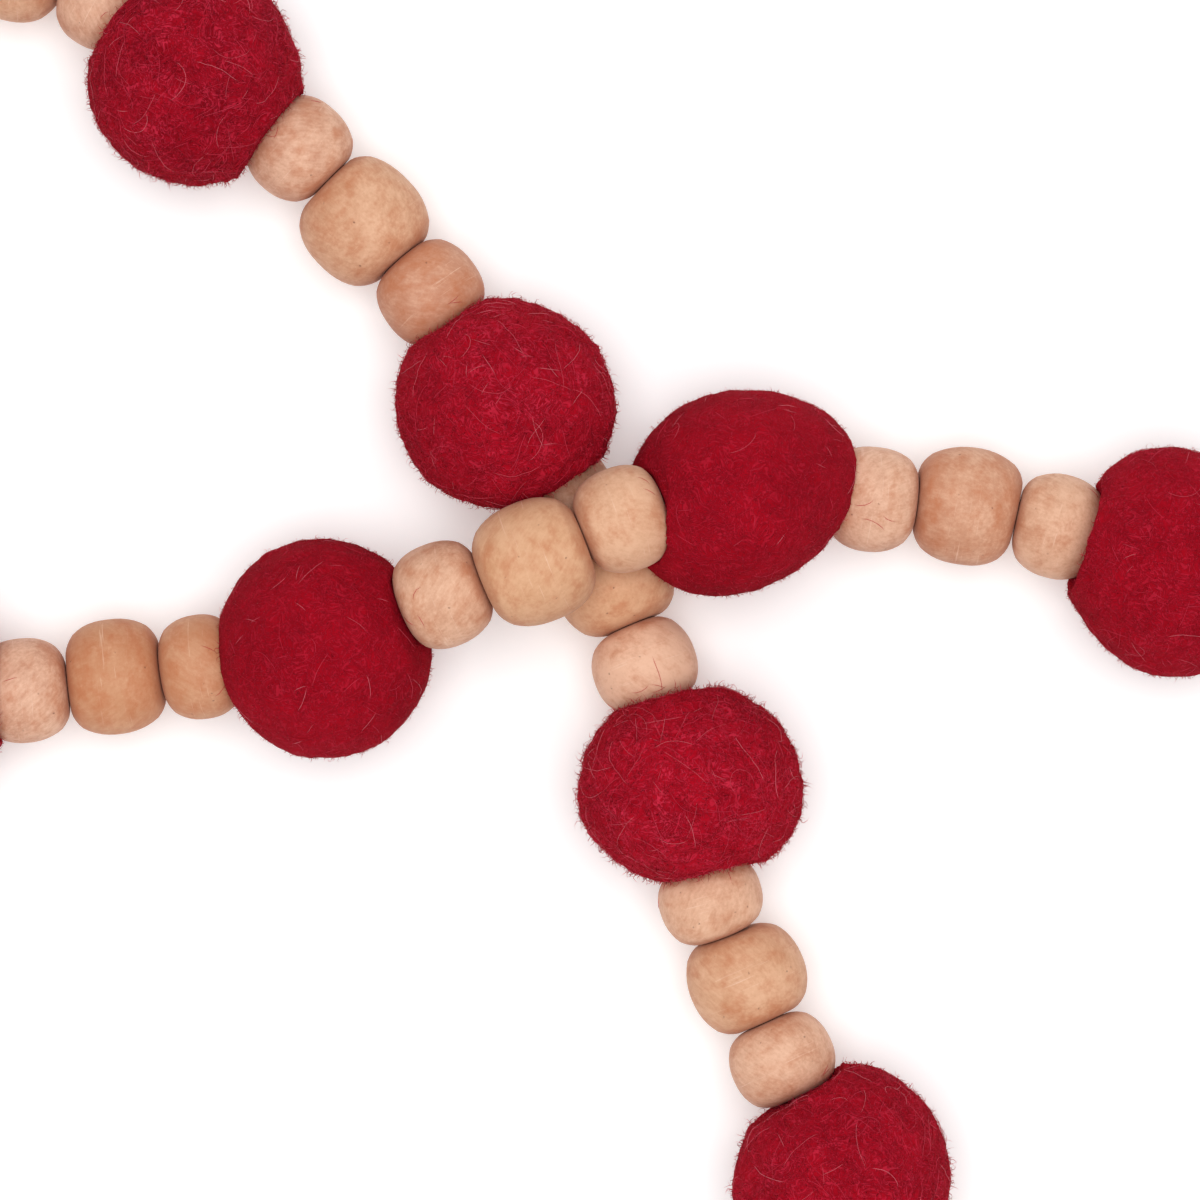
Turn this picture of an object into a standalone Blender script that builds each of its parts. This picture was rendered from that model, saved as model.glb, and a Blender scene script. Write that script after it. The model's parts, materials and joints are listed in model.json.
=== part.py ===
"""Felt ball garland: crimson wool felt balls and turned wooden beads on one string.

Between each two felt balls sit a small, a large and a small bead. The garland lies on a table in
one loose loop, and its upper run crosses over its lower run. Both ends have a small bead, a knot
and a hanging loop of the same string.

Tables and sizes are in millimetres. +X is to the right, +Y to the back, and the table is z = 0.
"""
import math
import random
from collections import namedtuple

import bmesh
import bpy
from mathutils import Matrix, Vector

MM = 0.001

FELT, SMALL, LARGE = "felt_ball", "small_bead", "large_bead"

# How far a piece reaches along the string to each side of its middle. A small bead sinks a few
# millimetres into a felt ball, so a ball's reach is less than its radius.
REACH = {FELT: 9.2, SMALL: 5.1, LARGE: 6.1}
BEAD_RADIUS = {SMALL: 6.05, LARGE: 7.0}
BEAD_END_RADIUS = {SMALL: 3.7, LARGE: 4.5}
BEAD_BORE_RADIUS = 1.6
BEAD_FULLNESS = 2.4
BEAD_SEGMENTS = 12
DRUM_STEPS = (1.0, 0.85, 0.5, 0.0, -0.5, -0.85, -1.0)

# Beads that are pressed end to end tilt less than the string falls: by this share of it.
TILT_SHARE = 0.5

STRING_RADIUS = 0.6
FELT_BLANK_RADIUS = 12.5
FELT_BORE_RADIUS = 1.2
FELT_SEGMENTS = 16
FELT_RING_STEP = 13.2
FELT_RINGS_EACH_SIDE = 5
FELT_LUMP_WAVES = 5
FELT_LUMP = 0.013
FELT_LUMP_TURNS = (2.0, 4.5)

# The gap between touching pieces, how deep under a seat's floor the felt blank's bore ends, and
# how near a bead's middle is to a ball's where it needs a seat in it.
GAP = 0.3
BORE_RIM_DEPTH = 1.5
SEAT_RANGE = 20.5
TABLE_CUTTER = (420.0, 320.0, 8.0)

# A piece as it lies: its middle, the way it points, half its length and its size.
Lain = namedtuple("Lain", "kind middle way half girth")

# Moves the garland so that the middle of its box is over the origin.
CENTRE_SHIFT = Vector((28.2, 0.3, 0.0))

# Each row is one piece on the string: its kind, where its middle is, and its size beside the usual.
Place = namedtuple("Place", "kind x y z girth", defaults=(1.0,))

# The run that passes below, from its free end at the front to the back left corner.
LOWER_RUN = [
    Place(SMALL, 34.8, -77.9, 8.6),
    Place(FELT, 27.7, -66.6, 12.5),
    Place(SMALL, 21.0, -53.0, 9.5),
    Place(LARGE, 16.9, -43.4, 8.5, 0.98),
    Place(SMALL, 12.7, -34.4, 9.5),
    Place(FELT, 10.2, -21.3, 12.3),
    Place(SMALL, 5.2, -7.7, 8.4),
    Place(LARGE, 1.4, 2.5, 7.3, 0.99),
    Place(SMALL, -4.4, 12.0, 7.2),
    Place(FELT, -10.8, 22.5, 12.1),
    Place(SMALL, -19.5, 35.3, 9.5),
    Place(LARGE, -27.3, 43.6, 8.5, 1.01),
    Place(SMALL, -34.7, 52.0, 9.5),
    Place(FELT, -46.2, 60.2, 12.5),
    Place(SMALL, -57.0, 69.3, 9.5),
    Place(LARGE, -67.1, 73.6, 8.5),
    Place(SMALL, -78.2, 74.9, 9.5),
    Place(FELT, -92.9, 74.0, 12.5),
]

# The run that passes above, from the left to its free end on the right.
UPPER_RUN = [
    Place(FELT, -79.9, -10.5, 12.5),
    Place(SMALL, -66.3, -10.4, 9.5),
    Place(LARGE, -55.6, -8.8, 8.5, 0.95),
    Place(SMALL, -46.0, -7.7, 9.5),
    Place(FELT, -31.2, -5.3, 12.6),
    Place(SMALL, -18.0, 0.6, 17.2),
    Place(LARGE, -7.5, 4.3, 18.8, 1.01),
    Place(SMALL, 2.7, 9.2, 18.7),
    Place(FELT, 16.7, 12.7, 12.9),
    Place(SMALL, 31.3, 11.6, 9.7),
    Place(LARGE, 42.3, 10.8, 8.5, 0.97),
    Place(SMALL, 52.8, 8.4, 9.5),
    Place(FELT, 65.6, 4.1, 12.5),
    Place(SMALL, 80.5, 0.3, 8.6),
]

# The turn at the left that joins the two runs: half an ellipse, this far out from its chord.
TURN_KINDS = [SMALL, LARGE, SMALL, FELT] * 2 + [SMALL, LARGE, SMALL]
TURN_REACH = 54.0
TURN_SAMPLES = 240
RESTING_HEIGHT = {FELT: 12.5, SMALL: 9.5, LARGE: 8.5}

# Each felt ball, in the order of the string: half its size across, along and up, how much it
# narrows towards the next piece, how much it is drawn out on a slant, which is midway between the
# string's way and its left, or its right where the share is below zero, and the seed of its lumps.
Felt = namedtuple("Felt", "across along tall taper slant seed")
FELT_BALLS = [
    Felt(12.7, 12.8, 12.8, 0.02, -0.02, 11),
    Felt(12.9, 11.7, 12.6, 0.01, 0.03, 12),
    Felt(12.2, 12.4, 12.7, -0.02, 0.01, 13),
    Felt(12.5, 12.5, 12.9, -0.03, -0.05, 14),
    Felt(12.4, 12.3, 12.9, 0.02, 0.00, 15),
    Felt(12.6, 12.0, 12.6, -0.03, 0.02, 16),
    Felt(12.3, 12.5, 12.9, 0.02, 0.00, 17),
    Felt(12.6, 12.4, 12.8, 0.00, 0.00, 18),
    Felt(12.5, 12.5, 13.0, 0.04, -0.01, 19),
    Felt(11.6, 13.6, 14.2, 0.19, 0.09, 20),
    Felt(13.0, 12.6, 12.7, 0.03, -0.01, 21),
]

# The hanging loop at each end: a knot, then a loop that drops to the table. Each row is a point
# of one half of it: how far out from the knot, to the side, and how high.
KNOT_HALF_LENGTH = 2.7
KNOT_RADIUS = 2.3
KNOT_RIDGES = 3
KNOT_RIDGE = 0.09
KNOT_RIDGE_SLANT = 4.0
KNOT_DROP = 1.6
LoopPoint = namedtuple("LoopPoint", "out side height")
LOOP_HALF = [
    LoopPoint(0.6, 0.95, 0.0),
    LoopPoint(2.0, 1.1, -0.7),
    LoopPoint(4.5, 1.7, -2.2),
    LoopPoint(8.0, 2.9, -4.2),
    LoopPoint(13.0, 5.0, -5.6),
    LoopPoint(19.0, 6.9, -5.8),
    LoopPoint(25.0, 6.6, -5.8),
    LoopPoint(29.5, 3.9, -5.8),
]
LOOP_TIP = LoopPoint(31.2, 0.0, -5.8)
LOOP_POINTS_PER_SPAN = 2
LOOP_HEIGHT_OVER_TABLE = STRING_RADIUS + 0.05


def clear_scene():
    for thing in list(bpy.data.objects):
        bpy.data.objects.remove(thing, do_unlink=True)


def new_collection(name):
    collection = bpy.data.collections.new(name)
    bpy.context.scene.collection.children.link(collection)
    return collection


def make_material(name, colour, roughness):
    material = bpy.data.materials.new(name)
    material.use_nodes = True
    shader = material.node_tree.nodes["Principled BSDF"]
    shader.inputs["Base Color"].default_value = (*colour, 1.0)
    shader.inputs["Roughness"].default_value = roughness
    shader.inputs["Metallic"].default_value = 0.0
    return material


def add_object(name, mesh, collection, material=None):
    thing = bpy.data.objects.new(name, mesh)
    if material:
        mesh.materials.append(material)
    collection.objects.link(thing)
    return thing


def turn_places(start, end):
    """The places round the turn, evenly along half an ellipse from start to end."""
    middle = Vector((start.x + end.x, start.y + end.y)) / 2
    chord = Vector((start.x, start.y)) - middle
    bulge = Vector((-chord.y, chord.x)).normalized() * TURN_REACH
    curve = []
    for step in range(TURN_SAMPLES + 1):
        angle = math.pi * step / TURN_SAMPLES
        curve.append(middle + chord * math.cos(angle) + bulge * math.sin(angle))
    run = [0.0]
    for before, after in zip(curve, curve[1:]):
        run.append(run[-1] + (after - before).length)
    kinds = [FELT] + TURN_KINDS + [FELT]
    marks = [0.0]
    for before, after in zip(kinds, kinds[1:]):
        marks.append(marks[-1] + REACH[before] + REACH[after])
    places = []
    for kind, mark in zip(TURN_KINDS, marks[1:]):
        wanted = run[-1] * mark / marks[-1]
        step = next(i for i, length in enumerate(run) if length >= wanted)
        places.append(Place(kind, curve[step].x, curve[step].y, RESTING_HEIGHT[kind]))
    return places


def ways_along(middles):
    """The way each piece points: from the piece before it to the one after it, but less steeply."""
    ways = []
    for i in range(len(middles)):
        way = middles[min(i + 1, len(middles) - 1)] - middles[max(i - 1, 0)]
        way.z *= TILT_SHARE
        ways.append(way.normalized())
    return ways


def touch_point(places, middles, i):
    """Where a piece meets the next one, on the line between their middles."""
    reach, next_reach = (REACH[place.kind] * place.girth for place in places[i:i + 2])
    return middles[i].lerp(middles[i + 1], reach / (reach + next_reach))


def room_beside(place, middle, way, neighbour_way, touch):
    """Half the length that a bead has up to where it meets the next bead at an angle."""
    side = 1 if (touch - middle).dot(way) > 0 else -1
    face = (way + neighbour_way).normalized() * side
    lean = way.angle(face * side)
    rim = BEAD_END_RADIUS[place.kind] * place.girth * math.sin(lean)
    return ((touch - middle).dot(face) - GAP / 2 - rim) / math.cos(lean)


def lay_pieces(places):
    """Each piece as it lies. A large bead slides along the string to be midway between its two."""
    middles = [Vector((place.x, place.y, place.z)) + CENTRE_SHIFT for place in places]
    ways = ways_along(middles)
    touches = [touch_point(places, middles, i) for i in range(len(places) - 1)]
    lain = []
    for i, place in enumerate(places):
        middle = middles[i].copy()
        if place.kind == LARGE:
            middle += ways[i] * ways[i].dot((touches[i - 1] + touches[i]) / 2 - middle)
        rooms = []
        for neighbour, touch in ((i - 1, i - 1), (i + 1, i)):
            if 0 <= neighbour < len(places) and FELT not in (place.kind, places[neighbour].kind):
                rooms.append(room_beside(place, middle, ways[i], ways[neighbour], touches[touch]))
        half = min(rooms, default=REACH[place.kind] * place.girth - GAP / 2)
        lain.append(Lain(place.kind, middle, ways[i], half, place.girth))
    return lain


def string_points(lain):
    """Where the string bends: between each two pieces, and past each end piece."""
    first, last = lain[0], lain[-1]
    points = [first.middle - first.way * (first.half + GAP)]
    for before, after in zip(lain, lain[1:]):
        leaves = before.middle + before.way * before.half
        enters = after.middle - after.way * after.half
        if before.kind == FELT:
            points.append(enters - after.way * GAP)
        elif after.kind == FELT:
            points.append(leaves + before.way * GAP)
        else:
            points.append((leaves + enters) / 2)
    points.append(last.middle + last.way * (last.half + GAP))
    return points


def piece_frame(middle, way):
    """A matrix with local +Z along the string, local +Y as near to up as it can be."""
    along = way.normalized()
    across = Vector((0, 0, 1)).cross(along).normalized()
    up = along.cross(across)
    turn = Matrix((across, up, along)).transposed().to_4x4()
    return Matrix.Translation(middle * MM) @ turn


def turned(name, profile, segments, closed, collection, material=None):
    """A profile of (radius, height) points, from top to bottom, turned about local +Z."""
    mesh = bpy.data.meshes.new(name)
    shape = bmesh.new()
    points = [shape.verts.new((radius * MM, 0, height * MM)) for radius, height in profile]
    for before, after in zip(points, points[1:]):
        shape.edges.new((before, after))
    if closed:
        shape.edges.new((points[-1], points[0]))
    shape.to_mesh(mesh)
    shape.free()
    thing = add_object(name, mesh, collection, material)
    screw = thing.modifiers.new("turned", "SCREW")
    screw.axis = "Z"
    screw.steps = segments
    screw.render_steps = segments
    screw.use_merge_vertices = True
    screw.merge_threshold = 0.00005
    screw.use_smooth_shade = True
    return thing


def bead_profile(piece, grow=0.0):
    """The outer side of a bead from top to bottom: flat ends and a full, round drum between them."""
    radius, end_radius = BEAD_RADIUS[piece.kind], BEAD_END_RADIUS[piece.kind]
    cut_at = (1 - (end_radius / radius) ** BEAD_FULLNESS) ** (1 / BEAD_FULLNESS)
    drum = []
    for step in DRUM_STEPS:
        share = (1 - (cut_at * abs(step)) ** BEAD_FULLNESS) ** (1 / BEAD_FULLNESS)
        drum.append((radius * piece.girth * share + grow, piece.half * step + grow * step))
    return drum


def make_bead(name, piece, collections, material):
    """A wooden bead with its bore. Returns the slightly larger shape that its seat is cut with."""
    place = piece_frame(piece.middle, piece.way)
    bore = [(BEAD_BORE_RADIUS, -piece.half), (BEAD_BORE_RADIUS, piece.half)]
    profile = bead_profile(piece) + bore
    bead = turned(name, profile, BEAD_SEGMENTS, True, collections["parts"], material)
    bead.matrix_world = place
    tip = piece.half + GAP
    seat_profile = [(0.0, tip)] + bead_profile(piece, GAP) + [(0.0, -tip)]
    seat = turned(f"seat_{name}", seat_profile, BEAD_SEGMENTS, False, collections["cutters"])
    seat.matrix_world = place
    seat.hide_render = True
    seat.display_type = "WIRE"
    return seat


def felt_lumps(seed):
    """A few slow waves in different directions, which make each ball a little uneven."""
    rng = random.Random(seed)
    waves = []
    for _ in range(FELT_LUMP_WAVES):
        way = Vector((rng.gauss(0, 1), rng.gauss(0, 1), rng.gauss(0, 1))).normalized()
        waves.append((way * rng.uniform(*FELT_LUMP_TURNS), rng.uniform(0, 2 * math.pi)))

    def lump(direction):
        return FELT_LUMP * sum(math.sin(way.dot(direction) + phase) for way, phase in waves)

    return lump


def felt_blank(collection):
    """A round ball with the string's bore, turned once and then shaped for each felt ball."""
    rings = range(-FELT_RINGS_EACH_SIDE, FELT_RINGS_EACH_SIDE + 1)
    rim = REACH[FELT] + BORE_RIM_DEPTH
    profile = [(FELT_BORE_RADIUS, rim)]
    for ring in reversed(rings):
        angle = math.radians(ring * FELT_RING_STEP)
        profile.append((FELT_BLANK_RADIUS * math.cos(angle), FELT_BLANK_RADIUS * math.sin(angle)))
    profile.append((FELT_BORE_RADIUS, -rim))
    blank = turned("felt_blank", profile, FELT_SEGMENTS, True, collection)
    mesh = bpy.data.meshes.new_from_object(blank.evaluated_get(bpy.context.evaluated_depsgraph_get()))
    bpy.data.objects.remove(blank, do_unlink=True)
    return mesh


def make_felt_ball(name, felt, middle, start, end, blank, collections, material):
    """A felt ball: the blank, stretched to this ball's size, tapered and made uneven.

    The needle doesn't go quite through the middle, so the bore is moved to the string's line.
    """
    mesh = blank.copy()
    lump = felt_lumps(felt.seed)
    place = piece_frame(middle, end - start)
    string_at = place.inverted() @ (start * MM)
    off_middle = Vector((string_at.x, string_at.y, 0))
    slant = Vector((1, 0, 1)).normalized()
    level = Vector((1, 0, -1)).normalized()
    for vertex in mesh.vertices:
        point = vertex.co / MM
        on_the_bore = math.hypot(point.x, point.y) < FELT_BORE_RADIUS + GAP
        if on_the_bore:
            vertex.co += off_middle
            continue
        way = point.normalized()
        narrow = 1.0 - felt.taper * way.z
        size = Vector((felt.across * narrow, felt.tall * narrow, felt.along))
        drawn = felt.slant * (way.dot(slant) ** 2 - way.dot(level) ** 2)
        vertex.co = way * size * (1.0 + drawn + lump(way)) * MM
    ball = add_object(name, mesh, collections["parts"], material)
    ball.matrix_world = place
    return ball


def cut(thing, cutter):
    boolean = thing.modifiers.new(f"clear_of_{cutter.name}"[:60], "BOOLEAN")
    boolean.operation = "DIFFERENCE"
    boolean.solver = "EXACT"
    boolean.object = cutter


def table_cutter(collection):
    """A slab with its top at the table, which leaves a small flat spot under each ball."""
    mesh = bpy.data.meshes.new("table_cutter")
    shape = bmesh.new()
    bmesh.ops.create_cube(shape, size=1.0)
    bmesh.ops.scale(shape, vec=Vector(TABLE_CUTTER) * MM, verts=shape.verts)
    shape.to_mesh(mesh)
    shape.free()
    slab = add_object("table_cutter", mesh, collection)
    slab.location = (0, 0, -TABLE_CUTTER[2] / 2 * MM)
    slab.hide_render = True
    slab.display_type = "WIRE"
    return slab


def tube(name, points, collection, material):
    """A round string through points, with filled ends."""
    curve = bpy.data.curves.new(name, "CURVE")
    curve.dimensions = "3D"
    curve.bevel_depth = STRING_RADIUS * MM
    curve.bevel_resolution = 2
    curve.use_fill_caps = True
    spline = curve.splines.new("POLY")
    spline.points.add(len(points) - 1)
    for knot, point in zip(spline.points, points):
        knot.co = (*(point * MM), 1.0)
    thing = bpy.data.objects.new(name, curve)
    curve.materials.append(material)
    collection.objects.link(thing)
    return thing


def smooth_route(points, per_span):
    """A smooth curve through points, with per_span steps from each to the next."""
    ends = [points[0] * 2 - points[1]] + points + [points[-1] * 2 - points[-2]]
    route = []
    for p0, p1, p2, p3 in zip(ends, ends[1:], ends[2:], ends[3:]):
        for step in range(per_span):
            t = step / per_span
            route.append(
                (p1 * 2 + (p2 - p0) * t
                 + (p0 * 2 - p1 * 5 + p2 * 4 - p3) * t * t
                 + (p1 * 3 - p0 - p2 * 3 + p3) * t * t * t) / 2
            )
    route.append(points[-1])
    return route


def make_knot(name, start, end, collection, material):
    """A knot in the doubled string: a lump with the ridges of its turns."""
    mesh = bpy.data.meshes.new(name)
    shape = bmesh.new()
    bmesh.ops.create_icosphere(shape, subdivisions=2, radius=1.0)
    for vertex in shape.verts:
        way = vertex.co.normalized()
        turn = KNOT_RIDGES * math.atan2(way.y, way.x) + KNOT_RIDGE_SLANT * way.z
        ridge = 1.0 + KNOT_RIDGE * math.sin(turn)
        size = Vector((KNOT_RADIUS * ridge, KNOT_RADIUS * ridge, KNOT_HALF_LENGTH))
        vertex.co = way * size * MM
    shape.to_mesh(mesh)
    shape.free()
    knot = add_object(name, mesh, collection, material)
    knot.matrix_world = piece_frame((start + end) / 2, end - start)
    return knot


def loop_route(root, out):
    """The hanging loop's points, from one side of the knot round its tip to the other."""
    out = Vector((out.x, out.y, 0)).normalized()
    side = Vector((-out.y, out.x, 0))
    near = [root + out * row.out + side * row.side + Vector((0, 0, row.height)) for row in LOOP_HALF]
    far = [root + out * row.out - side * row.side + Vector((0, 0, row.height)) for row in LOOP_HALF]
    tip = root + out * LOOP_TIP.out + Vector((0, 0, LOOP_TIP.height))
    route = smooth_route(near + [tip] + far[::-1], LOOP_POINTS_PER_SPAN)
    return [Vector((point.x, point.y, max(point.z, LOOP_HEIGHT_OVER_TABLE))) for point in route]


def make_end(label, inner, outer, collections, material):
    """The knot past an end bead and its hanging loop, lower with each step away from the bead."""
    out = (outer - inner).normalized()
    knot_start = outer + out * GAP
    knot_way = (out * 2 * KNOT_HALF_LENGTH - Vector((0, 0, KNOT_DROP / 2))).normalized()
    knot_end = knot_start + knot_way * 2 * KNOT_HALF_LENGTH
    make_knot(f"knot_{label}", knot_start, knot_end, collections["parts"], material)
    route = loop_route(knot_end, out)
    tube(f"loop_{label}", route, collections["parts"], material)


def main():
    clear_scene()
    collections = {"parts": new_collection("felt_ball_garland"), "cutters": new_collection("cutters")}
    felt = make_material("crimson_wool_felt", (0.30, 0.009, 0.018), 0.95)
    wood = make_material("turned_wood", (0.58, 0.31, 0.20), 0.6)
    cotton = make_material("cotton_string", (0.45, 0.29, 0.165), 0.9)

    lain = lay_pieces(LOWER_RUN + turn_places(LOWER_RUN[-1], UPPER_RUN[0]) + UPPER_RUN)
    points = string_points(lain)
    table = table_cutter(collections["cutters"])
    blank = felt_blank(collections["cutters"])

    counts = {FELT: 0, SMALL: 0, LARGE: 0}
    balls, seats = [], []
    for piece, start, end in zip(lain, points, points[1:]):
        counts[piece.kind] += 1
        name = f"{piece.kind}_{counts[piece.kind]:02d}"
        if piece.kind == FELT:
            row = FELT_BALLS[counts[FELT] - 1]
            balls.append(make_felt_ball(name, row, piece.middle, start, end, blank, collections, felt))
        else:
            seats.append(make_bead(name, piece, collections, wood))
    for ball in balls:
        middle = ball.matrix_world.translation
        for seat in seats:
            if (seat.matrix_world.translation - middle).length < SEAT_RANGE * MM:
                cut(ball, seat)
        cut(ball, table)

    tube("string", points, collections["parts"], cotton)
    make_end("front", points[1], points[0], collections, cotton)
    make_end("right", points[-2], points[-1], collections, cotton)


main()
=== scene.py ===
# %% [markdown]
# # A felt ball garland
# Crimson wool felt balls hang on one string, with three turned wooden beads between each two. The
# garland lies on a table in a loose loop that crosses itself. Its plain solids were made before,
# and this lesson dresses them: it replaces each solid with a finer piece in the same place.
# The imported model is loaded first, because every piece has to sit where its solid is.

import json
import math
import random
from collections import namedtuple

import bmesh
import bpy
from mathutils import Matrix, Quaternion, Vector, noise
from mathutils.bvhtree import BVHTree

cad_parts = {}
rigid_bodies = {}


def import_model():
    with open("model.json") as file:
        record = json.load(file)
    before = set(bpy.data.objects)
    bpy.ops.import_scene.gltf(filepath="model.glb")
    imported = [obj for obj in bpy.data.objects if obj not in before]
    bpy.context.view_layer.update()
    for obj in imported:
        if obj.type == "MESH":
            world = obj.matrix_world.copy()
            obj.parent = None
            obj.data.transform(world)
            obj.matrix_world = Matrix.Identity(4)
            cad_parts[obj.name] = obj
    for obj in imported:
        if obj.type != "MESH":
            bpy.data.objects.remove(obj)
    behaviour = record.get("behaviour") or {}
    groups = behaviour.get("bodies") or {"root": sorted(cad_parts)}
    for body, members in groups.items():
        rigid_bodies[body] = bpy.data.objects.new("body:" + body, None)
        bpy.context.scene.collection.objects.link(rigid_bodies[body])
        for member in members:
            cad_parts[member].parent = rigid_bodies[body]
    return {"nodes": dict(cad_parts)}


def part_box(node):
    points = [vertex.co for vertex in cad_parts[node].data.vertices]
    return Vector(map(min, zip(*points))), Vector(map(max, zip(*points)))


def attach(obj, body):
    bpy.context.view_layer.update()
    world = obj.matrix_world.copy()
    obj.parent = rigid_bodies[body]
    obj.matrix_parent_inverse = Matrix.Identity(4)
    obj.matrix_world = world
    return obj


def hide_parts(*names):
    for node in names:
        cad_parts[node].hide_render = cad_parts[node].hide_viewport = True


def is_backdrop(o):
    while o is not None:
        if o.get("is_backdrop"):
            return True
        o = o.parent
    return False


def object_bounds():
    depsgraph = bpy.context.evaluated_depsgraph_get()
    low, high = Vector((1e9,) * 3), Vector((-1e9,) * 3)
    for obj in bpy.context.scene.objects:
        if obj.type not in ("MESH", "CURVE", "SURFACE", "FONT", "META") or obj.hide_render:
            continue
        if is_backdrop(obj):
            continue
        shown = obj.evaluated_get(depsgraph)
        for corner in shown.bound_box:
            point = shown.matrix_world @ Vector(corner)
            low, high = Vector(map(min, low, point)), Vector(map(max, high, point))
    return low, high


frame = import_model()
cad_low, cad_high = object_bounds()
print("solids:", len(frame["nodes"]), "box:", [round(side, 4) for side in cad_high - cad_low])

# %% [markdown]
# ## The order of the pieces
# A garland is a list: bead, bead, bead, ball, and so on. So the places are tables, one row for each
# piece, in millimetres. Two runs are listed one by one, because each piece lies where the real one
# does. The turn that joins them on the left is worked out, as half an ellipse.

# %% Places of the pieces
MM = 0.001
FELT, SMALL, LARGE = "felt_ball", "small_bead", "large_bead"
REACH = {FELT: 9.2, SMALL: 5.1, LARGE: 6.1}
RESTING_HEIGHT = {FELT: 12.5, SMALL: 9.5, LARGE: 8.5}
CENTRE_SHIFT = Vector((28.2, 0.3, 0.0))

# A row's girth is its size beside the usual size of its kind.
Place = namedtuple("Place", "kind x y z girth", defaults=(1.0,))
LOWER_RUN = [
    Place(SMALL, 34.8, -77.9, 8.6),
    Place(FELT, 27.7, -66.6, 12.5),
    Place(SMALL, 21.0, -53.0, 9.5),
    Place(LARGE, 16.9, -43.4, 8.5, 0.98),
    Place(SMALL, 12.7, -34.4, 9.5),
    Place(FELT, 10.2, -21.3, 12.3),
    Place(SMALL, 5.2, -7.7, 8.4),
    Place(LARGE, 1.4, 2.5, 7.3, 0.99),
    Place(SMALL, -4.4, 12.0, 7.2),
    Place(FELT, -10.8, 22.5, 12.1),
    Place(SMALL, -19.5, 35.3, 9.5),
    Place(LARGE, -27.3, 43.6, 8.5, 1.01),
    Place(SMALL, -34.7, 52.0, 9.5),
    Place(FELT, -46.2, 60.2, 12.5),
    Place(SMALL, -57.0, 69.3, 9.5),
    Place(LARGE, -67.1, 73.6, 8.5),
    Place(SMALL, -78.2, 74.9, 9.5),
    Place(FELT, -92.9, 74.0, 12.5),
]
UPPER_RUN = [
    Place(FELT, -79.9, -10.5, 12.5),
    Place(SMALL, -66.3, -10.4, 9.5),
    Place(LARGE, -55.6, -8.8, 8.5, 0.95),
    Place(SMALL, -46.0, -7.7, 9.5),
    Place(FELT, -31.2, -5.3, 12.6),
    Place(SMALL, -18.0, 0.6, 17.2),
    Place(LARGE, -7.5, 4.3, 18.8, 1.01),
    Place(SMALL, 2.7, 9.2, 18.7),
    Place(FELT, 16.7, 12.7, 12.9),
    Place(SMALL, 31.3, 11.6, 9.7),
    Place(LARGE, 42.3, 10.8, 8.5, 0.97),
    Place(SMALL, 52.8, 8.4, 9.5),
    Place(FELT, 65.6, 4.1, 12.5),
    Place(SMALL, 80.5, 0.3, 8.6),
]
TURN_KINDS = [SMALL, LARGE, SMALL, FELT] * 2 + [SMALL, LARGE, SMALL]
TURN_REACH = 54.0
TURN_SAMPLES = 240


def turn_places(start, end):
    """The places round the turn, evenly along half an ellipse from start to end."""
    middle = Vector((start.x + end.x, start.y + end.y)) / 2
    chord = Vector((start.x, start.y)) - middle
    bulge = Vector((-chord.y, chord.x)).normalized() * TURN_REACH
    curve = []
    for step in range(TURN_SAMPLES + 1):
        angle = math.pi * step / TURN_SAMPLES
        curve.append(middle + chord * math.cos(angle) + bulge * math.sin(angle))
    run = [0.0]
    for before, after in zip(curve, curve[1:]):
        run.append(run[-1] + (after - before).length)
    kinds = [FELT] + TURN_KINDS + [FELT]
    marks = [0.0]
    for before, after in zip(kinds, kinds[1:]):
        marks.append(marks[-1] + REACH[before] + REACH[after])
    places = []
    for kind, mark in zip(TURN_KINDS, marks[1:]):
        wanted = run[-1] * mark / marks[-1]
        step = next(i for i, length in enumerate(run) if length >= wanted)
        places.append(Place(kind, curve[step].x, curve[step].y, RESTING_HEIGHT[kind]))
    return places


places = LOWER_RUN + turn_places(LOWER_RUN[-1], UPPER_RUN[0]) + UPPER_RUN
print("pieces on the string:", len(places))

# %% [markdown]
# ## How the pieces lie
# Each piece points from the piece before it to the one after. Beads are hard and pressed end to
# end, so they tilt less than the string falls, and each is as long as it can be before its rim
# meets the next one. A large bead slides along the string until it is midway between its two.

# %% Lay the pieces
TILT_SHARE = 0.5
GAP = 0.3
BEAD_END_RADIUS = {SMALL: 3.7, LARGE: 4.5}
Lain = namedtuple("Lain", "kind middle way half girth")


def ways_along(middles):
    """The way each piece points: from the piece before it to the one after it, but less steeply."""
    ways = []
    for i in range(len(middles)):
        way = middles[min(i + 1, len(middles) - 1)] - middles[max(i - 1, 0)]
        way.z *= TILT_SHARE
        ways.append(way.normalized())
    return ways


def touch_point(places, middles, i):
    """Where a piece meets the next one, on the line between their middles."""
    reach, next_reach = (REACH[place.kind] * place.girth for place in places[i:i + 2])
    return middles[i].lerp(middles[i + 1], reach / (reach + next_reach))


def room_beside(place, middle, way, neighbour_way, touch):
    """Half the length that a bead has up to where it meets the next bead at an angle."""
    side = 1 if (touch - middle).dot(way) > 0 else -1
    face = (way + neighbour_way).normalized() * side
    lean = way.angle(face * side)
    rim = BEAD_END_RADIUS[place.kind] * place.girth * math.sin(lean)
    return ((touch - middle).dot(face) - GAP / 2 - rim) / math.cos(lean)


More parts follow.
